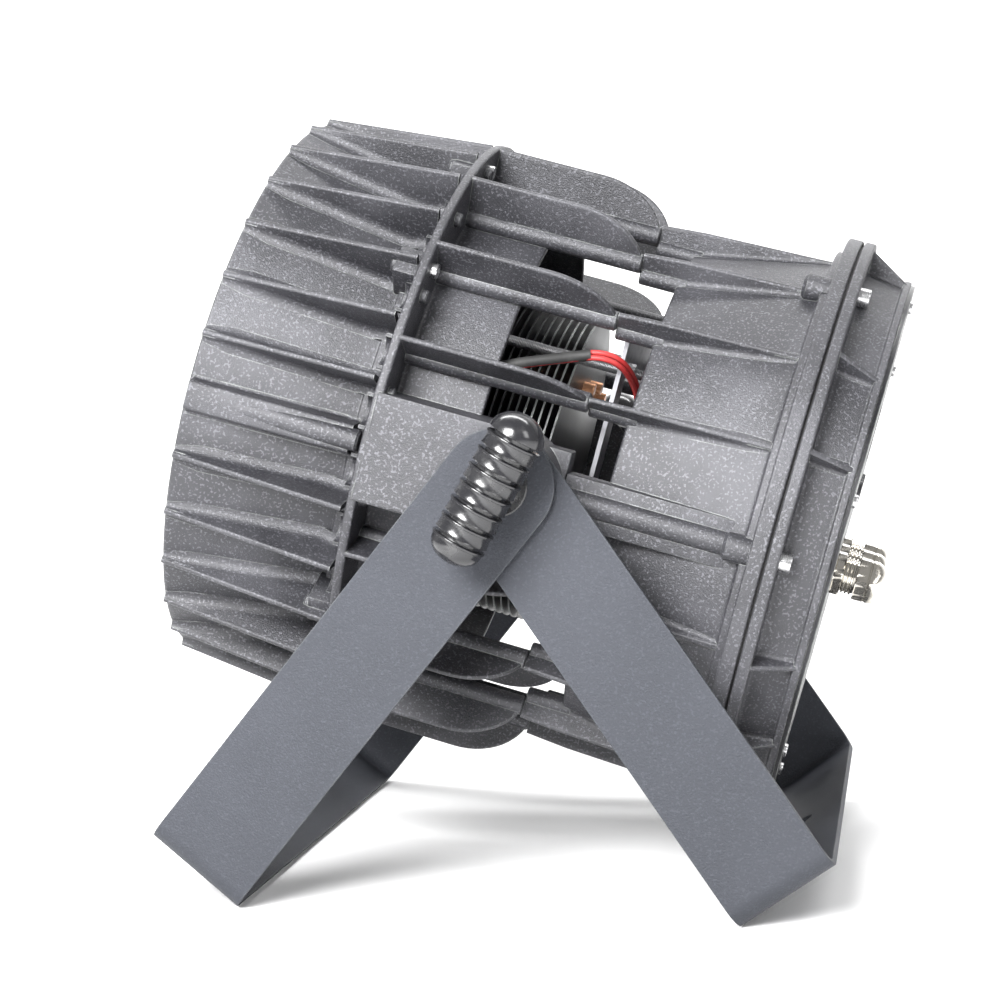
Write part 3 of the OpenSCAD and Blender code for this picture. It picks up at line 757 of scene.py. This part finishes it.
def barrel_parts():
    """The front barrel's casting, in the head's frame"""
    ours = settings().casting
    outline = [
        (RIM_FRONT, 129, 1.4), (RIM_FRONT, RIM_R, 1.6), (CONE_END, CONE_END_R, 1.0), (CONE_END, SEAT_R),
        (BARREL_REAR, SEAT_R), (BARREL_REAR, 60), (-68, 60), (-68, 115.5), (-105, 121.5), (-108.5, 114),
        (-112.5, 114), (-112.5, 120.5), (BEZEL_BACK, 120.5), (BEZEL_BACK, 126),
    ]
    cone = rim("barrel_cone", outline, segments=240)
    fin = ridge(
        "barrel_fins", steps(-147.6, FIN_END, 14), barrel_wall, barrel_crest, ours.fin / 2 / MM,
        ours.fillet / MM, 1.0, 0.4,
    )
    spine = ridge("barrel_spines", steps(-146.5, -71, 10), barrel_wall, spine_crest, 6.6, 1.5, 1.6, 0.6)
    rod = turned("spine_rods", [(-130, 0), (-130, 5), (-68, 5), (-67, 4.2), (-67, 0)], 40)
    lug = block("barrel_lugs", (-76, -7, 117), (BARREL_REAR, 7, 138), 0.9)
    boss = turned("lug_bosses", [(-78, 0), (-78, 3.6), (-77.2, 4.4), (-75, 4.4), (-75, 0)], 32)
    pocket = half_ring("barrel_pockets", 8.2, 6.6, -69.5, -64.2)
    return [
        cone,
        between_sides(fin, ours.barrel_places),
        both_sides(spine),
        both_sides(placed(rod, shift(0, 0, 132))),
        at_lugs(lug),
        at_lugs(placed(boss, shift(0, 0, LUG_R))),
        ring_of(placed(pocket, shift(0, 0, POCKET_R)), 30, 6, 12),
    ]


def bowl_point(k, wall=0.0):
    """Place and radius on the reflector's curve, at one of its steps from the throat"""
    share_of = k / BOWL_STEPS
    return BOWL_BACK - BOWL_DEPTH * share_of, BOWL_THROAT + BOWL_SPREAD * math.sqrt(share_of) + wall


class PARCAN_OT_barrel(bpy.types.Operator):
    """Builds the front barrel with its fins, spines and lugs, the bezel and the reflector"""

    bl_idname = "par_can.barrel"
    bl_label = "Front barrel"
    bl_options = {"REGISTER", "UNDO"}

    def execute(self, context):
        head_piece("front_barrel", barrel_parts())
        ring = [(BEZEL_FRONT, 111.2), (BEZEL_FRONT, 125.7), (BEZEL_BACK, 125.7), (BEZEL_BACK, 111.2)]
        head_piece("bezel_ring", [rim("bezel", ring, 0.5, 180)])
        facing = shift(BEZEL_FRONT, 0, BEZEL_SCREW_R) @ Matrix.Rotation(math.pi, 4, "Z")
        screw = placed(cap_screw("bezel_screws", 2.4, 1.8, 1.6, 1.0), facing)
        head_piece("bezel_screws", [ring_of(screw, 8, 0, 45, slot="bright_steel")], "bright_steel")
        bowl = [(BOWL_BACK - 0.2, BOWL_THROAT + BOWL_WALL)]
        bowl += [bowl_point(k, BOWL_WALL) for k in range(1, BOWL_STEPS + 1)]
        bowl += [bowl_point(k) for k in range(BOWL_STEPS, -1, -1)]
        head_piece("reflector", [turned("reflector_bowl", bowl, 160)], "reflector_metal")
        return {"FINISHED"}


# ---- Middle cage ----
CAGE_FRONT, FLANGE_BACK, CAGE_WALL_R = -63.98, -59.6, 119.4
# The plane where the cage's fins, rods and pads meet those of the driver box
SEAM = 24.2
ROD_AT, FLANGE_SCREW_R = 122.3, 135.5
# Where a fin's crest starts to curve in, and how far it would run to reach the lower radius
CURVE_START, CURVE_RUN, CURVE_END_R = -8.0, 32.9, 118.0


def cage_foot(x):
    """Radius where a cage fin stands, just inside its rod"""
    return 121.3


def cage_crest(x):
    """The flange's radius, then a quarter of an ellipse down to the seam"""
    if x < CURVE_START:
        return FLANGE_R
    drop = 1 - ((x - CURVE_START) / CURVE_RUN) ** 2
    return CURVE_END_R + (FLANGE_R - CURVE_END_R) * math.sqrt(max(drop, 0))


def cage_parts():
    """The middle cage's casting, in the head's frame"""
    ours = settings().casting
    outline = [
        (CAGE_FRONT, 94), (CAGE_FRONT, FLANGE_R, 1.1), (FLANGE_BACK, FLANGE_R, 1.1),
        (FLANGE_BACK, CAGE_WALL_R, 1.5), (-20, CAGE_WALL_R), (-20, 116), (-61.8, 116), (-61.8, 94),
    ]
    core = rim("cage_core", outline, segments=240)
    places = steps(-61.5, CURVE_START, 4)
    places += [CURVE_START + 32.2 * math.sin(math.pi / 2 * k / 14) for k in range(1, 15)]
    places[-1] = SEAM - 0.3
    fin = ridge("cage_fins", places, cage_foot, cage_crest, ours.fin / 2 / MM, 1.6, 1.1, 0.3)
    rod = turned("cage_rods", [(-62.5, 0), (-62.5, 4.5), (SEAM - 0.6, 4.5), (SEAM, 3.9), (SEAM, 0)], 40)
    # The pad is square in front and half round behind, about the pivot's hole
    outer = [(-62, -SEAM), (-62, SEAM)]
    outer += [(SEAM * math.sin(math.radians(t)), SEAM * math.cos(math.radians(t))) for t in steps(0, 180, 32)]
    pad = plate("pivot_pads", [rounded(outer, 0.8), circle(0, 0, 5)], 32, 1.0)
    tail = block("pad_tails", (0, -20, 113), (SEAM, 20, 127), 1.2)
    stub = turned("flange_stubs", [(-60, 0), (-60, 3.4), (-57.2, 3.2), (-56.6, 2.6), (-56.6, 0)], 28)
    return [
        core,
        between_sides(fin, ours.cage_places),
        between_sides(placed(rod, shift(0, 0, ROD_AT)), ours.cage_places),
        both_sides(placed(pad, shift(0, 0, 128))),
        both_sides(tail),
        ring_of(placed(stub, shift(0, 0, FLANGE_SCREW_R)), 18, 10, 20),
    ]


class PARCAN_OT_cage(bpy.types.Operator):
    """Builds the middle cage: its flange, fins, rods and pivot pads"""

    bl_idname = "par_can.cage"
    bl_label = "Middle cage"
    bl_options = {"REGISTER", "UNDO"}

    def execute(self, context):
        head_piece("mid_cage", cage_parts())
        screw = placed(cap_screw("flange_screws", 3.4, 3, 3, 1.8), shift(FLANGE_BACK, 0, FLANGE_SCREW_R))
        head_piece("flange_screws", [at_lugs(screw, "bright_steel")], "bright_steel")
        return {"FINISHED"}


# ---- Rods, nuts and the red lead ----
TIE_R, TIE_FRONT, TIE_BACK = 80.0, -71.0, 50.0
THREAD_START, THREAD_LENGTH, THREAD_PITCH = -57.5, 107, 0.8
NUT_PLACES, NUT_FLATS = (29.5, 45), 8
# The lead's route from the spreader plate to the driver box
LEAD = (
    (-55.9, -82, 26), (-53, -82, 26), (-49, -87, 29), (-43, -96, 34), (-28, -99, 42), (-14, -97, 49),
    (-2, -94, 54), (8, -91, 58), (16, -90, 61), (24, -89, 62), (31, -83, 59.5), (36, -71, 53),
    (38, -60, 47), (39.3, -50, 42.2), (42.2, -44.4, 40.2), (47, -44, 40),
)
# The two wires lie side by side. The black sleeve covers the route's first points and its last: partly a real
# sleeve, partly painted shade where the red lead lies in shadow
WIRE_R, SLEEVE_AND_SHADE_R = 1.25, 2.6
WIRE_OFFSET = (0, 0.9, 1.2)
SLEEVE_AND_SHADE_END, SLEEVE_AND_SHADE_RESTART = 9, 13


def smooth_line(points, between_points):
    """Points of a Catmull-Rom curve through the given ones"""
    line = []
    for i in range(len(points) - 1):
        before, a, b = points[max(i - 1, 0)], points[i], points[i + 1]
        after = points[min(i + 2, len(points) - 1)]
        for k in range(between_points):
            t = k / between_points
            line.append(0.5 * (2 * a + (b - before) * t + (2 * before - 5 * a + 4 * b - after) * t * t
                               + (3 * a - before - 3 * b + after) * t ** 3))
    line.append(points[-1])
    return line


def hose(name, route, radius, offset=(0, 0, 0), sides=16):
    """A round tube along a smooth line through the route's points"""
    line = smooth_line([Vector(p) + Vector(offset) for p in route], 5)
    bm = bmesh.new()
    rings = []
    for i, p in enumerate(line):
        along = (line[min(i + 1, len(line) - 1)] - line[max(i - 1, 0)]).normalized()
        u = along.cross(Vector((0, 0, 1))).normalized()
        w = along.cross(u)
        turns = [math.tau * k / sides for k in range(sides)]
        rings.append([bm.verts.new((p + (u * math.cos(t) + w * math.sin(t)) * radius) * MM) for t in turns])
    for a, b in zip(rings, rings[1:]):
        bridge(bm, a, b)
    bm.faces.new(rings[0])
    bm.faces.new(rings[-1])
    return made(name, bm)


def tie_rod():
    """A threaded rod along X with its head in front, set out at the rods' circle"""
    rows = [(TIE_FRONT, 0), (TIE_FRONT, 4.2), (-70.6, 4.5), (-68, 4.5), (-68, 2.5), (-58, 2.5)]
    for k in range(int(THREAD_LENGTH / THREAD_PITCH)):
        rows += [(THREAD_START + k * THREAD_PITCH, 2.2), (THREAD_START + (k + 0.5) * THREAD_PITCH, 2.5)]
    rows += [(TIE_BACK - 0.4, 2.2), (TIE_BACK, 1.8), (TIE_BACK, 0)]
    return placed(turned("tie_rods", rows, 24, 60), shift(0, 0, TIE_R))


def tie_nut(place):
    """A nut on a tie rod, from its place along the axis"""
    rows = [
        (place, 2.55), (place, 4.1), (place + 0.4, 9, NUT_FLATS), (place + 3.6, 9, NUT_FLATS),
        (place + 4, 4.1), (place + 4, 2.55),
    ]
    return placed(turned("tie_nuts_%d" % place, rows, 48), shift(0, 0, TIE_R))


class PARCAN_OT_inside(bpy.types.Operator):
    """Builds what shows between the cage's fins: threaded rods, nuts and the red lead"""

    bl_idname = "par_can.inside"
    bl_label = "Rods, nuts and lead"
    bl_options = {"REGISTER", "UNDO"}

    def execute(self, context):
        head_piece("tie_rods", [ring_of(tie_rod(), 4, 45, 90, slot="zinc_rod")], "zinc_rod")
        nuts = [ring_of(tie_nut(place), 4, 45, 90, slot="bright_steel") for place in NUT_PLACES]
        head_piece("tie_nuts", nuts, "bright_steel")
        other = tuple(-c for c in WIRE_OFFSET)
        wires = [hose("lead_wires", LEAD, WIRE_R, WIRE_OFFSET), hose("lead_wire_2", LEAD, WIRE_R, other)]
        head_piece("led_cable", wires, "cable_red", "led_lead_finished")
        # Black sleeves over most of the lead: partly a real sleeve, partly painted shade that stands in for the
        # lead's shadow
        sleeves_and_shade = [
            hose("lead_sleeve", LEAD[:SLEEVE_AND_SHADE_END], SLEEVE_AND_SHADE_R),
            hose("lead_sleeve_end", LEAD[SLEEVE_AND_SHADE_RESTART:], SLEEVE_AND_SHADE_R),
        ]
        head_piece("led_cable", sleeves_and_shade, "seal_rubber", "led_sleeve_finished")
        return {"FINISHED"}


# ---- Rear housing, cover and glands ----
JOINT_X, COVER_X, COVER_BACK, BACK_X = 116.4, 117.4, 143.2, 145.2
REAR_R, LIP_X = 143.0, 109.5
# Corners of the driver box's cone, and where its ribs start and change slope
NECK, SHOULDER = (42.0, 118.0), (106.0, 130.0)
RIB_START, RIB_KNEE, RIB_END = (24.4, 128.0), (44.4, 129.6), (LIP_X, 131.5)
# Corners of the cover's wall, and the line of its gussets' crests
COVER_STEP, COVER_RIM = (122.6, 130.5), (139.8, 127.5)
GUSSET_START, GUSSET_END = (121.4, 142.0), (142.2, 129.5)
COVER_FLOOR, COVER_EDGE_R = 140.2, 130.0
COVER_SCREW_R, PLATE_SCREW_R = 134.5, 122.0


def housing_crest(x):
    """Radius of a housing rib's crest"""
    if x < RIB_KNEE[0]:
        return between(x, RIB_START, RIB_KNEE)
    return between(x, RIB_KNEE, RIB_END)


def housing_foot(x):
    """Radius of the driver box's wall, level in front of its neck"""
    return between(max(x, NECK[0]), NECK, SHOULDER)


def cover_wall(x):
    """Radius of the cover's side wall"""
    return between(x, COVER_STEP, COVER_RIM)


def gusset_crest(x):
    """Radius of a gusset's sloping crest"""
    return between(x, GUSSET_START, GUSSET_END)


def housing_parts():
    """The driver box's casting, in the head's frame"""
    ours = settings().casting
    outline = [
        (NECK[0], 0), (*NECK, 1.5), (*SHOULDER, 2.0), (SHOULDER[0], 135.5), (LIP_X, 135.5), (LIP_X, REAR_R),
        (JOINT_X, REAR_R), (JOINT_X, 127), (45, 115), (45, 0),
    ]
    body = rim("housing_body", outline, segments=240)
    start = RIB_START[0]
    rib = ridge(
        "housing_ribs", steps(start, 109.4, 12), housing_foot, housing_crest, ours.fin / 2 / MM, 2.2, 1.0, 0.3
    )
    rod = turned("housing_rods", [(start, 0), (start, 3.6), (25, 4.2), (46, 4.2), (46, 0)], 36)
    spine = block("housing_spines", (start, -11, 114), (LIP_X, 11, 128.5), 1.0)
    bar_rows = [(start, 0), (start, 4.8), (25, 5.4), (98.5, 5.4), (100.4, 3.2), (100.4, 0)]
    bar = turned("spine_bars", bar_rows, 36)
    boss = turned("screw_bosses", [(97.4, 0), (97.4, 4.6), (99, 6.2), (111, 6.2), (111, 0)], 40)
    return [
        body,
        between_sides(rib, ours.cage_places),
        between_sides(placed(rod, shift(0, 0, 116.6)), ours.cage_places),
        both_sides(spine),
        both_sides(placed(bar, shift(0, 0, 127))),
        ring_of(placed(boss, shift(0, 0, 133)), 6, 0, 60),
    ]


def cover_parts():
    """The rear cover's casting, in the head's frame"""
    outline = [
        (COVER_X, 126), (COVER_X, REAR_R), (COVER_STEP[0], REAR_R), (*COVER_STEP, 1.8), (*COVER_RIM, 1.2),
        (COVER_RIM[0], COVER_EDGE_R, 0.6), (COVER_BACK, COVER_EDGE_R, 0.6), (COVER_BACK, 123),
        (COVER_FLOOR, 123),
    ]
    body = rim("cover_body", outline, segments=240)
    half = settings().casting.fin / 2 / MM
    gusset = ridge("cover_gussets", steps(122.0, 141.8, 8), cover_wall, gusset_crest, half, 1.6, 1.0, 0.3)
    floor = [(COVER_FLOOR, 0), (COVER_FLOOR, 124), (COVER_BACK, 124), (COVER_BACK, 0)]
    return [body, ring_of(gusset, 18, 0, 20, 3), turned("cover_floor", floor, 120)]


class PARCAN_OT_housing(bpy.types.Operator):
    """Builds the driver box: its conical body, ribs, rods, spines and screw bosses"""

    bl_idname = "par_can.housing"
    bl_label = "Rear housing"
    bl_options = {"REGISTER", "UNDO"}

    def execute(self, context):
        head_piece("rear_housing", housing_parts())
        return {"FINISHED"}


class PARCAN_OT_cover(bpy.types.Operator):
    """Builds the rear cover with its gussets, its screws and those of the back plate"""

    bl_idname = "par_can.cover"
    bl_label = "Rear cover"
    bl_options = {"REGISTER", "UNDO"}

    def execute(self, context):
        head_piece("rear_cover", cover_parts())
        screw = placed(cap_screw("cover_screws", 4.25, 5, 4, 2.6), shift(COVER_STEP[0], 0, COVER_SCREW_R))
        head_piece("cover_screws", [ring_of(screw, 6, 0, 60, slot="bright_steel")], "bright_steel")
        low = placed(cap_screw("plate_screws", 3, 1.6, 2, 1.0), shift(BACK_X, 0, PLATE_SCREW_R))
        head_piece("plate_screws", [ring_of(low, 6, 15, 60, slot="bright_steel")], "bright_steel")
        return {"FINISHED"}


GLAND_FLATS, GLAND_SPACING, GLAND_DROP = 19, 40, -8


def gland_body_rows():
    """Stub, hexagon and a neck with three threads, from the back plate outwards"""
    corner = GLAND_FLATS / math.sqrt(3)
    rows = [
        (-3, 4.2), (-3, 5.9), (0, 5.9), (0, 10.4), (0.5, corner, GLAND_FLATS), (3.6, corner, GLAND_FLATS),
        (4.2, 10.2), (4.2, 7.9),
    ]
    for ring in (4.6, 6.4, 8.2):
        rows += [(ring, 7.7), (ring + 0.4, 8.5), (ring + 1.0, 8.5), (ring + 1.3, 7.7)]
    return rows + [(10.4, 7.6), (10.4, 6), (15, 6), (15, 4.2)]


def gland_nut_rows():
    """The hexagon with its groove, then the dome down to the cord's hole"""
    corner, groove = GLAND_FLATS / math.sqrt(3), GLAND_FLATS / math.sqrt(3) - 0.35
    return [
        (10.5, 6.1), (10.5, 10.2), (11, corner, GLAND_FLATS), (15.6, corner, GLAND_FLATS),
        (15.9, groove, 18.4), (16.3, groove, 18.4), (16.6, corner, GLAND_FLATS), (17.6, 10.9, GLAND_FLATS),
        (19.2, 10.2, GLAND_FLATS), (20.6, 9.2, GLAND_FLATS), (21.8, 7.9), (22.6, 6.4), (23, 5), (23, 4.4),
        (15.2, 4.4), (15.2, 6.1),
    ]


class PARCAN_OT_glands(bpy.types.Operator):
    """Builds the three cable glands: hexagon, threaded neck and domed nut"""

    bl_idname = "par_can.glands"
    bl_label = "Cable glands"
    bl_options = {"REGISTER", "UNDO"}

    def execute(self, context):
        for i in (1, 2, 3):
            place = shift(BACK_X, (i - 2) * GLAND_SPACING, GLAND_DROP)
            for part, rows in (("body", gland_body_rows()), ("nut", gland_nut_rows())):
                head_piece("gland_%s_%d" % (part, i), [placed(turned(part, rows, 72), place)], "nickel")
        return {"FINISHED"}


# ---- Stand: straps and knobs ----
# Each strap's inner face from the middle plane, its length from the pivot to the foot, and its lean
STRAPS = {"outer_yoke": (149.7, 220.47, -38.4), "inner_yoke": (145.3, 213.22, 35.4)}
SLEEVE_HOLE_R, FOOT_HOLE_R = 8.05, 6.5
GRIP_AT, KNOB_LEAN = 174.55, 29.0


def strap(body, face_y, length_mm, lean):
    """A flat bar bent into a U: drawn flat with its holes, then bent and leaned"""
    ours = settings().stand
    thick, half = ours.thickness / MM, ours.width / MM / 2
    middle = ours.bend / MM - thick / 2
    flat_y = face_y + thick - ours.bend / MM
    arc = middle * math.pi / 2
    reach = flat_y + arc + length_mm - ours.bend / MM
    outline = [(reach + half * math.cos(t), half * math.sin(t)) for t in steps(-math.pi / 2, math.pi / 2, 40)]
    outline += [(-x, -y) for x, y in outline]
    holes = [circle(reach, 0, SLEEVE_HOLE_R), circle(-reach, 0, SLEEVE_HOLE_R), circle(0, 0, FOOT_HOLE_R)]
    flat = plate(body + "_finished", [outline, *holes], thick, 0.35)
    bm = bmesh.new()
    bm.from_mesh(flat.data)
    bpy.data.objects.remove(flat)
    for side in (-1, 1):
        for cut in steps(flat_y, flat_y + arc, 14) + steps(0, flat_y, 3)[1:3]:
            bmesh.ops.bisect_plane(
                bm, geom=bm.verts[:] + bm.edges[:] + bm.faces[:], plane_co=(side * cut * MM, 0, 0),
                plane_no=(1, 0, 0), dist=1e-7,
            )
    tip = math.radians(lean)
    down = Vector((math.sin(tip), 0, -math.cos(tip)))
    across = Vector((math.cos(tip), 0, math.sin(tip)))
    for v in bm.verts:
        s, w, t = (c / MM for c in v.co)
        side, a = (1 if s >= 0 else -1), abs(s)
        if a <= flat_y:
            y, d = a, length_mm - thick / 2 + t
        elif a < flat_y + arc:
            turn = (a - flat_y) / middle
            y = flat_y + (middle + t) * math.sin(turn)
            d = length_mm - ours.bend / MM + (middle + t) * math.cos(turn)
        else:
            y, d = flat_y + middle + t, length_mm - ours.bend / MM - (a - flat_y - arc)
        v.co = PIVOT + (down * d + across * w + Vector((0, side * y, 0))) * MM
    return show(made(body + "_finished", bm, 20), "bar_paint", body, body)


class PARCAN_OT_straps(bpy.types.Operator):
    """Builds the two bent straps of the double yoke"""

    bl_idname = "par_can.straps"
    bl_label = "Yoke straps"
    bl_options = {"REGISTER", "UNDO"}

    def execute(self, context):
        for body, sizes in STRAPS.items():
            strap(body, *sizes)
        return {"FINISHED"}


def grip_rows():
    """A grip's rows from its top down: dome, grooves with raised lips, and lower dome"""
    ours = settings().stand
    half, r = ours.grip / MM / 2, ours.grip_d / MM / 2
    pitch = (2 * half - 0.6 * 2 * r) / ours.grooves
    first = -pitch * (ours.grooves - 1) / 2
    start = first - 1.1
    quarter = steps(0, math.pi / 2, 10)
    rows = [(-half, 0)]
    rows += [(start - (half + start) * math.cos(t), r * math.sin(t)) for t in quarter[1:]]
    for k in range(ours.grooves):
        g = first + k * pitch
        # The groove's floor, its raised lip and the narrowing body
        rows += [(g - 1.05, r - 0.15), (g - 0.85, r - 0.7), (g - 0.8, r - 3.2), (g + 0.8, r - 3.2)]
        rows += [(g + 0.9, r - 0.5), (g + 1.1, r - 0.1), (g + 1.5, r), (g + 1.9, r - 0.12)]
        rows += [(g + 2.15, r - 0.6), (g + 2.9, r - 0.75)]
        if k < ours.grooves - 1:
            rows += [(g + pitch * 0.6, r - 0.6), (g + pitch - 1.5, r - 0.45)]
    end = first + (ours.grooves - 1) * pitch + 3.0
    rows += [(end + (half - end) * math.sin(t), (r - 0.75) * math.cos(t)) for t in quarter[:-1]]
    rows.append((half, 0))
    return [(-x, radius) for x, radius in rows]


class PARCAN_OT_knobs(bpy.types.Operator):
    """Builds the two ribbed clamping knobs"""

    bl_idname = "par_can.knobs"
    bl_label = "Clamping knobs"
    bl_options = {"REGISTER", "UNDO"}

    def execute(self, context):
        centre = Matrix.Translation(PIVOT)
        lean = Matrix.Rotation(math.radians(KNOB_LEAN - 90), 4, "Y")
        for side, body in ((-1, "near"), (1, "far")):
            outward = centre @ Matrix.Rotation(math.radians(90 * side), 4, "Z")
            grip = turned("grip", grip_rows(), 96)
            placed(grip, centre @ shift(0, side * GRIP_AT, 0) @ lean)
            hub = turned("hub", [(154.3, 0), (154.3, 9.4), (154.9, 10), (166.8, 10), (166.8, 0)], 64)
            placed(hub, outward)
            # A black disc in the knob's plastic over the stud's bright steel disc: painted shade where the knob's
            # shadow falls behind it
            rows = [(152.86, 0), (152.86, 13.3), (154.2, 13.3), (154.8, 12.7), (154.8, 0)]
            skirt = placed(turned("skirt", rows, 72), outward)
            knob = joined("knob_grip_%s_finished" % body, [grip, hub, skirt])
            show(knob, "knob_black", body + "_knob", "knob_grip_" + body)
        return {"FINISHED"}


class PARCAN_OT_fixed(bpy.types.Operator):
    """Gives the CAD pieces that are shown as they are their finishes"""

    bl_idname = "par_can.fixed"
    bl_label = "Finish the plain pieces"
    bl_options = {"REGISTER", "UNDO"}

    def execute(self, context):
        for node, obj in frame["nodes"].items():
            if node not in SLOTS:
                raise RuntimeError("no finish is recorded for " + node)
            obj.data.materials.clear()
            obj.data.materials.append(finish(SLOTS[node]))
        return {"FINISHED"}


# ---- Stage, in metres ----
FLOOR_HALF, SWEEP_START, SWEEP_R, WALL_TOP = 7, 1.6, 2, 6
FLOOR_DROP = 0.0002
# Each lamp's place, what it points at, its width and height, and its power in watts
AIM = (0, 0, 0.2)
LAMPS = {
    "key": ((-0.45, -1.55, 1.0), AIM, 0.95, 0.7, 92),
    "top": ((-0.2, 0.5, 1.9), AIM, 0.9, 0.6, 3),
    "fill_right": ((1.4, -1.0, 0.9), AIM, 0.5, 0.9, 8),
    "backdrop": ((0, 1.2, 3.2), (0, 3.4, 0.6), 4.0, 1.0, 190),
}
CAMERA_AT, CAMERA_LOOK, CAMERA_LENS = (0.1741, -1.1008, 0.2495), (-0.1767, 0.9818, -0.0699), 82.14


def lamp(name, place, target, width, height, power):
    """A rectangular soft light that points at its target"""
    data = bpy.data.lights.new(name, "AREA")
    data.shape = "RECTANGLE"
    data.size, data.size_y, data.energy = width, height, power
    obj = bpy.data.objects.new(name, data)
    obj.location = place
    obj.rotation_euler = (Vector(target) - Vector(place)).to_track_quat("-Z", "Y").to_euler()
    bpy.context.scene.collection.objects.link(obj)


def studio_floor():
    """A pale floor that sweeps up into a wall behind the light"""
    bm = bmesh.new()
    sweep = [(-6, 0), (SWEEP_START, 0)]
    for t in steps(0, math.pi / 2, 24)[1:]:
        sweep.append((SWEEP_START + SWEEP_R * math.sin(t), SWEEP_R - SWEEP_R * math.cos(t)))
    sweep.append((SWEEP_START + SWEEP_R, WALL_TOP))
    rows = [[bm.verts.new((x, y, z - FLOOR_DROP)) for y, z in sweep] for x in (-FLOOR_HALF, FLOOR_HALF)]
    for (a, b), (c, d) in zip(zip(rows[0], rows[0][1:]), zip(rows[1], rows[1][1:])):
        bm.faces.new((a, c, d, b)).smooth = True
    mesh = bpy.data.meshes.new("studio_floor")
    bm.to_mesh(mesh)
    bm.free()
    floor = bpy.data.objects.new("studio_floor", mesh)
    bpy.context.scene.collection.objects.link(floor)
    paint = bpy.data.materials.new("studio_floor")
    paint.use_nodes = True
    shader = paint.node_tree.nodes["Principled BSDF"]
    shader.inputs["Base Color"].default_value = (0.93, 0.93, 0.93, 1)
    shader.inputs["Roughness"].default_value = 0.9
    mesh.materials.append(paint)


def studio_camera():
    """The camera, level with the head and a little to its right"""
    data = bpy.data.cameras.new("camera")
    data.sensor_width, data.lens = 36, CAMERA_LENS
    camera = bpy.data.objects.new("camera", data)
    camera.location = CAMERA_AT
    camera.rotation_euler = Vector(CAMERA_LOOK).to_track_quat("-Z", "Y").to_euler()
    bpy.context.scene.collection.objects.link(camera)
    return camera


class PARCAN_OT_stage(bpy.types.Operator):
    """Sets the pale floor, the soft studio lights and the camera"""

    bl_idname = "par_can.stage"
    bl_label = "Studio stage"
    bl_options = {"REGISTER", "UNDO"}

    def execute(self, context):
        scene = context.scene
        studio_floor()
        world = bpy.data.worlds.new("studio")
        scene.world = world
        world.use_nodes = True
        background = world.node_tree.nodes["Background"]
        background.inputs["Color"].default_value = (1, 1, 1, 1)
        background.inputs["Strength"].default_value = 0.4
        for name, values in LAMPS.items():
            lamp(name, *values)
        scene.camera = studio_camera()
        scene.view_settings.view_transform = "Standard"
        return {"FINISHED"}


class PARCAN_PT_panel(bpy.types.Panel):
    """Lists the steps that build the light"""

    bl_idname = "PARCAN_PT_panel"
    bl_label = "Par can light"
    bl_space_type = "VIEW_3D"
    bl_region_type = "UI"
    bl_category = "Par Can"

    def draw(self, context):
        layout = self.layout
        ours = context.scene.par_can
        for title, group in (("Castings", ours.casting), ("Stand", ours.stand), ("Finishes", ours.finish)):
            box = layout.box()
            box.label(text=title)
            for key in group.__annotations__:
                box.prop(group, key)
        for step in BUILD_STEPS:
            layout.operator(step.bl_idname)


BUILD_STEPS = (
    PARCAN_OT_fixed, PARCAN_OT_barrel, PARCAN_OT_cage, PARCAN_OT_inside, PARCAN_OT_housing, PARCAN_OT_cover,
    PARCAN_OT_glands, PARCAN_OT_straps, PARCAN_OT_knobs, PARCAN_OT_stage,
)
CLASSES = (CastingSizes, StandSizes, FinishSettings, PartSettings, *BUILD_STEPS, PARCAN_PT_panel)


def register():
    """Adds the classes and the settings to Blender"""
    for item in CLASSES:
        bpy.utils.register_class(item)
    bpy.types.Scene.par_can = bpy.props.PointerProperty(type=PartSettings, name="Par can light")


def unregister():
    """Takes them away again"""
    del bpy.types.Scene.par_can
    for item in reversed(CLASSES):
        bpy.utils.unregister_class(item)


def main():
    register()
    for step in BUILD_STEPS:
        group, name = step.bl_idname.split(".")
        if getattr(getattr(bpy.ops, group), name)() != {"FINISHED"}:
            raise RuntimeError(step.bl_label + " was not finished")


if __name__ == "__main__":
    main()
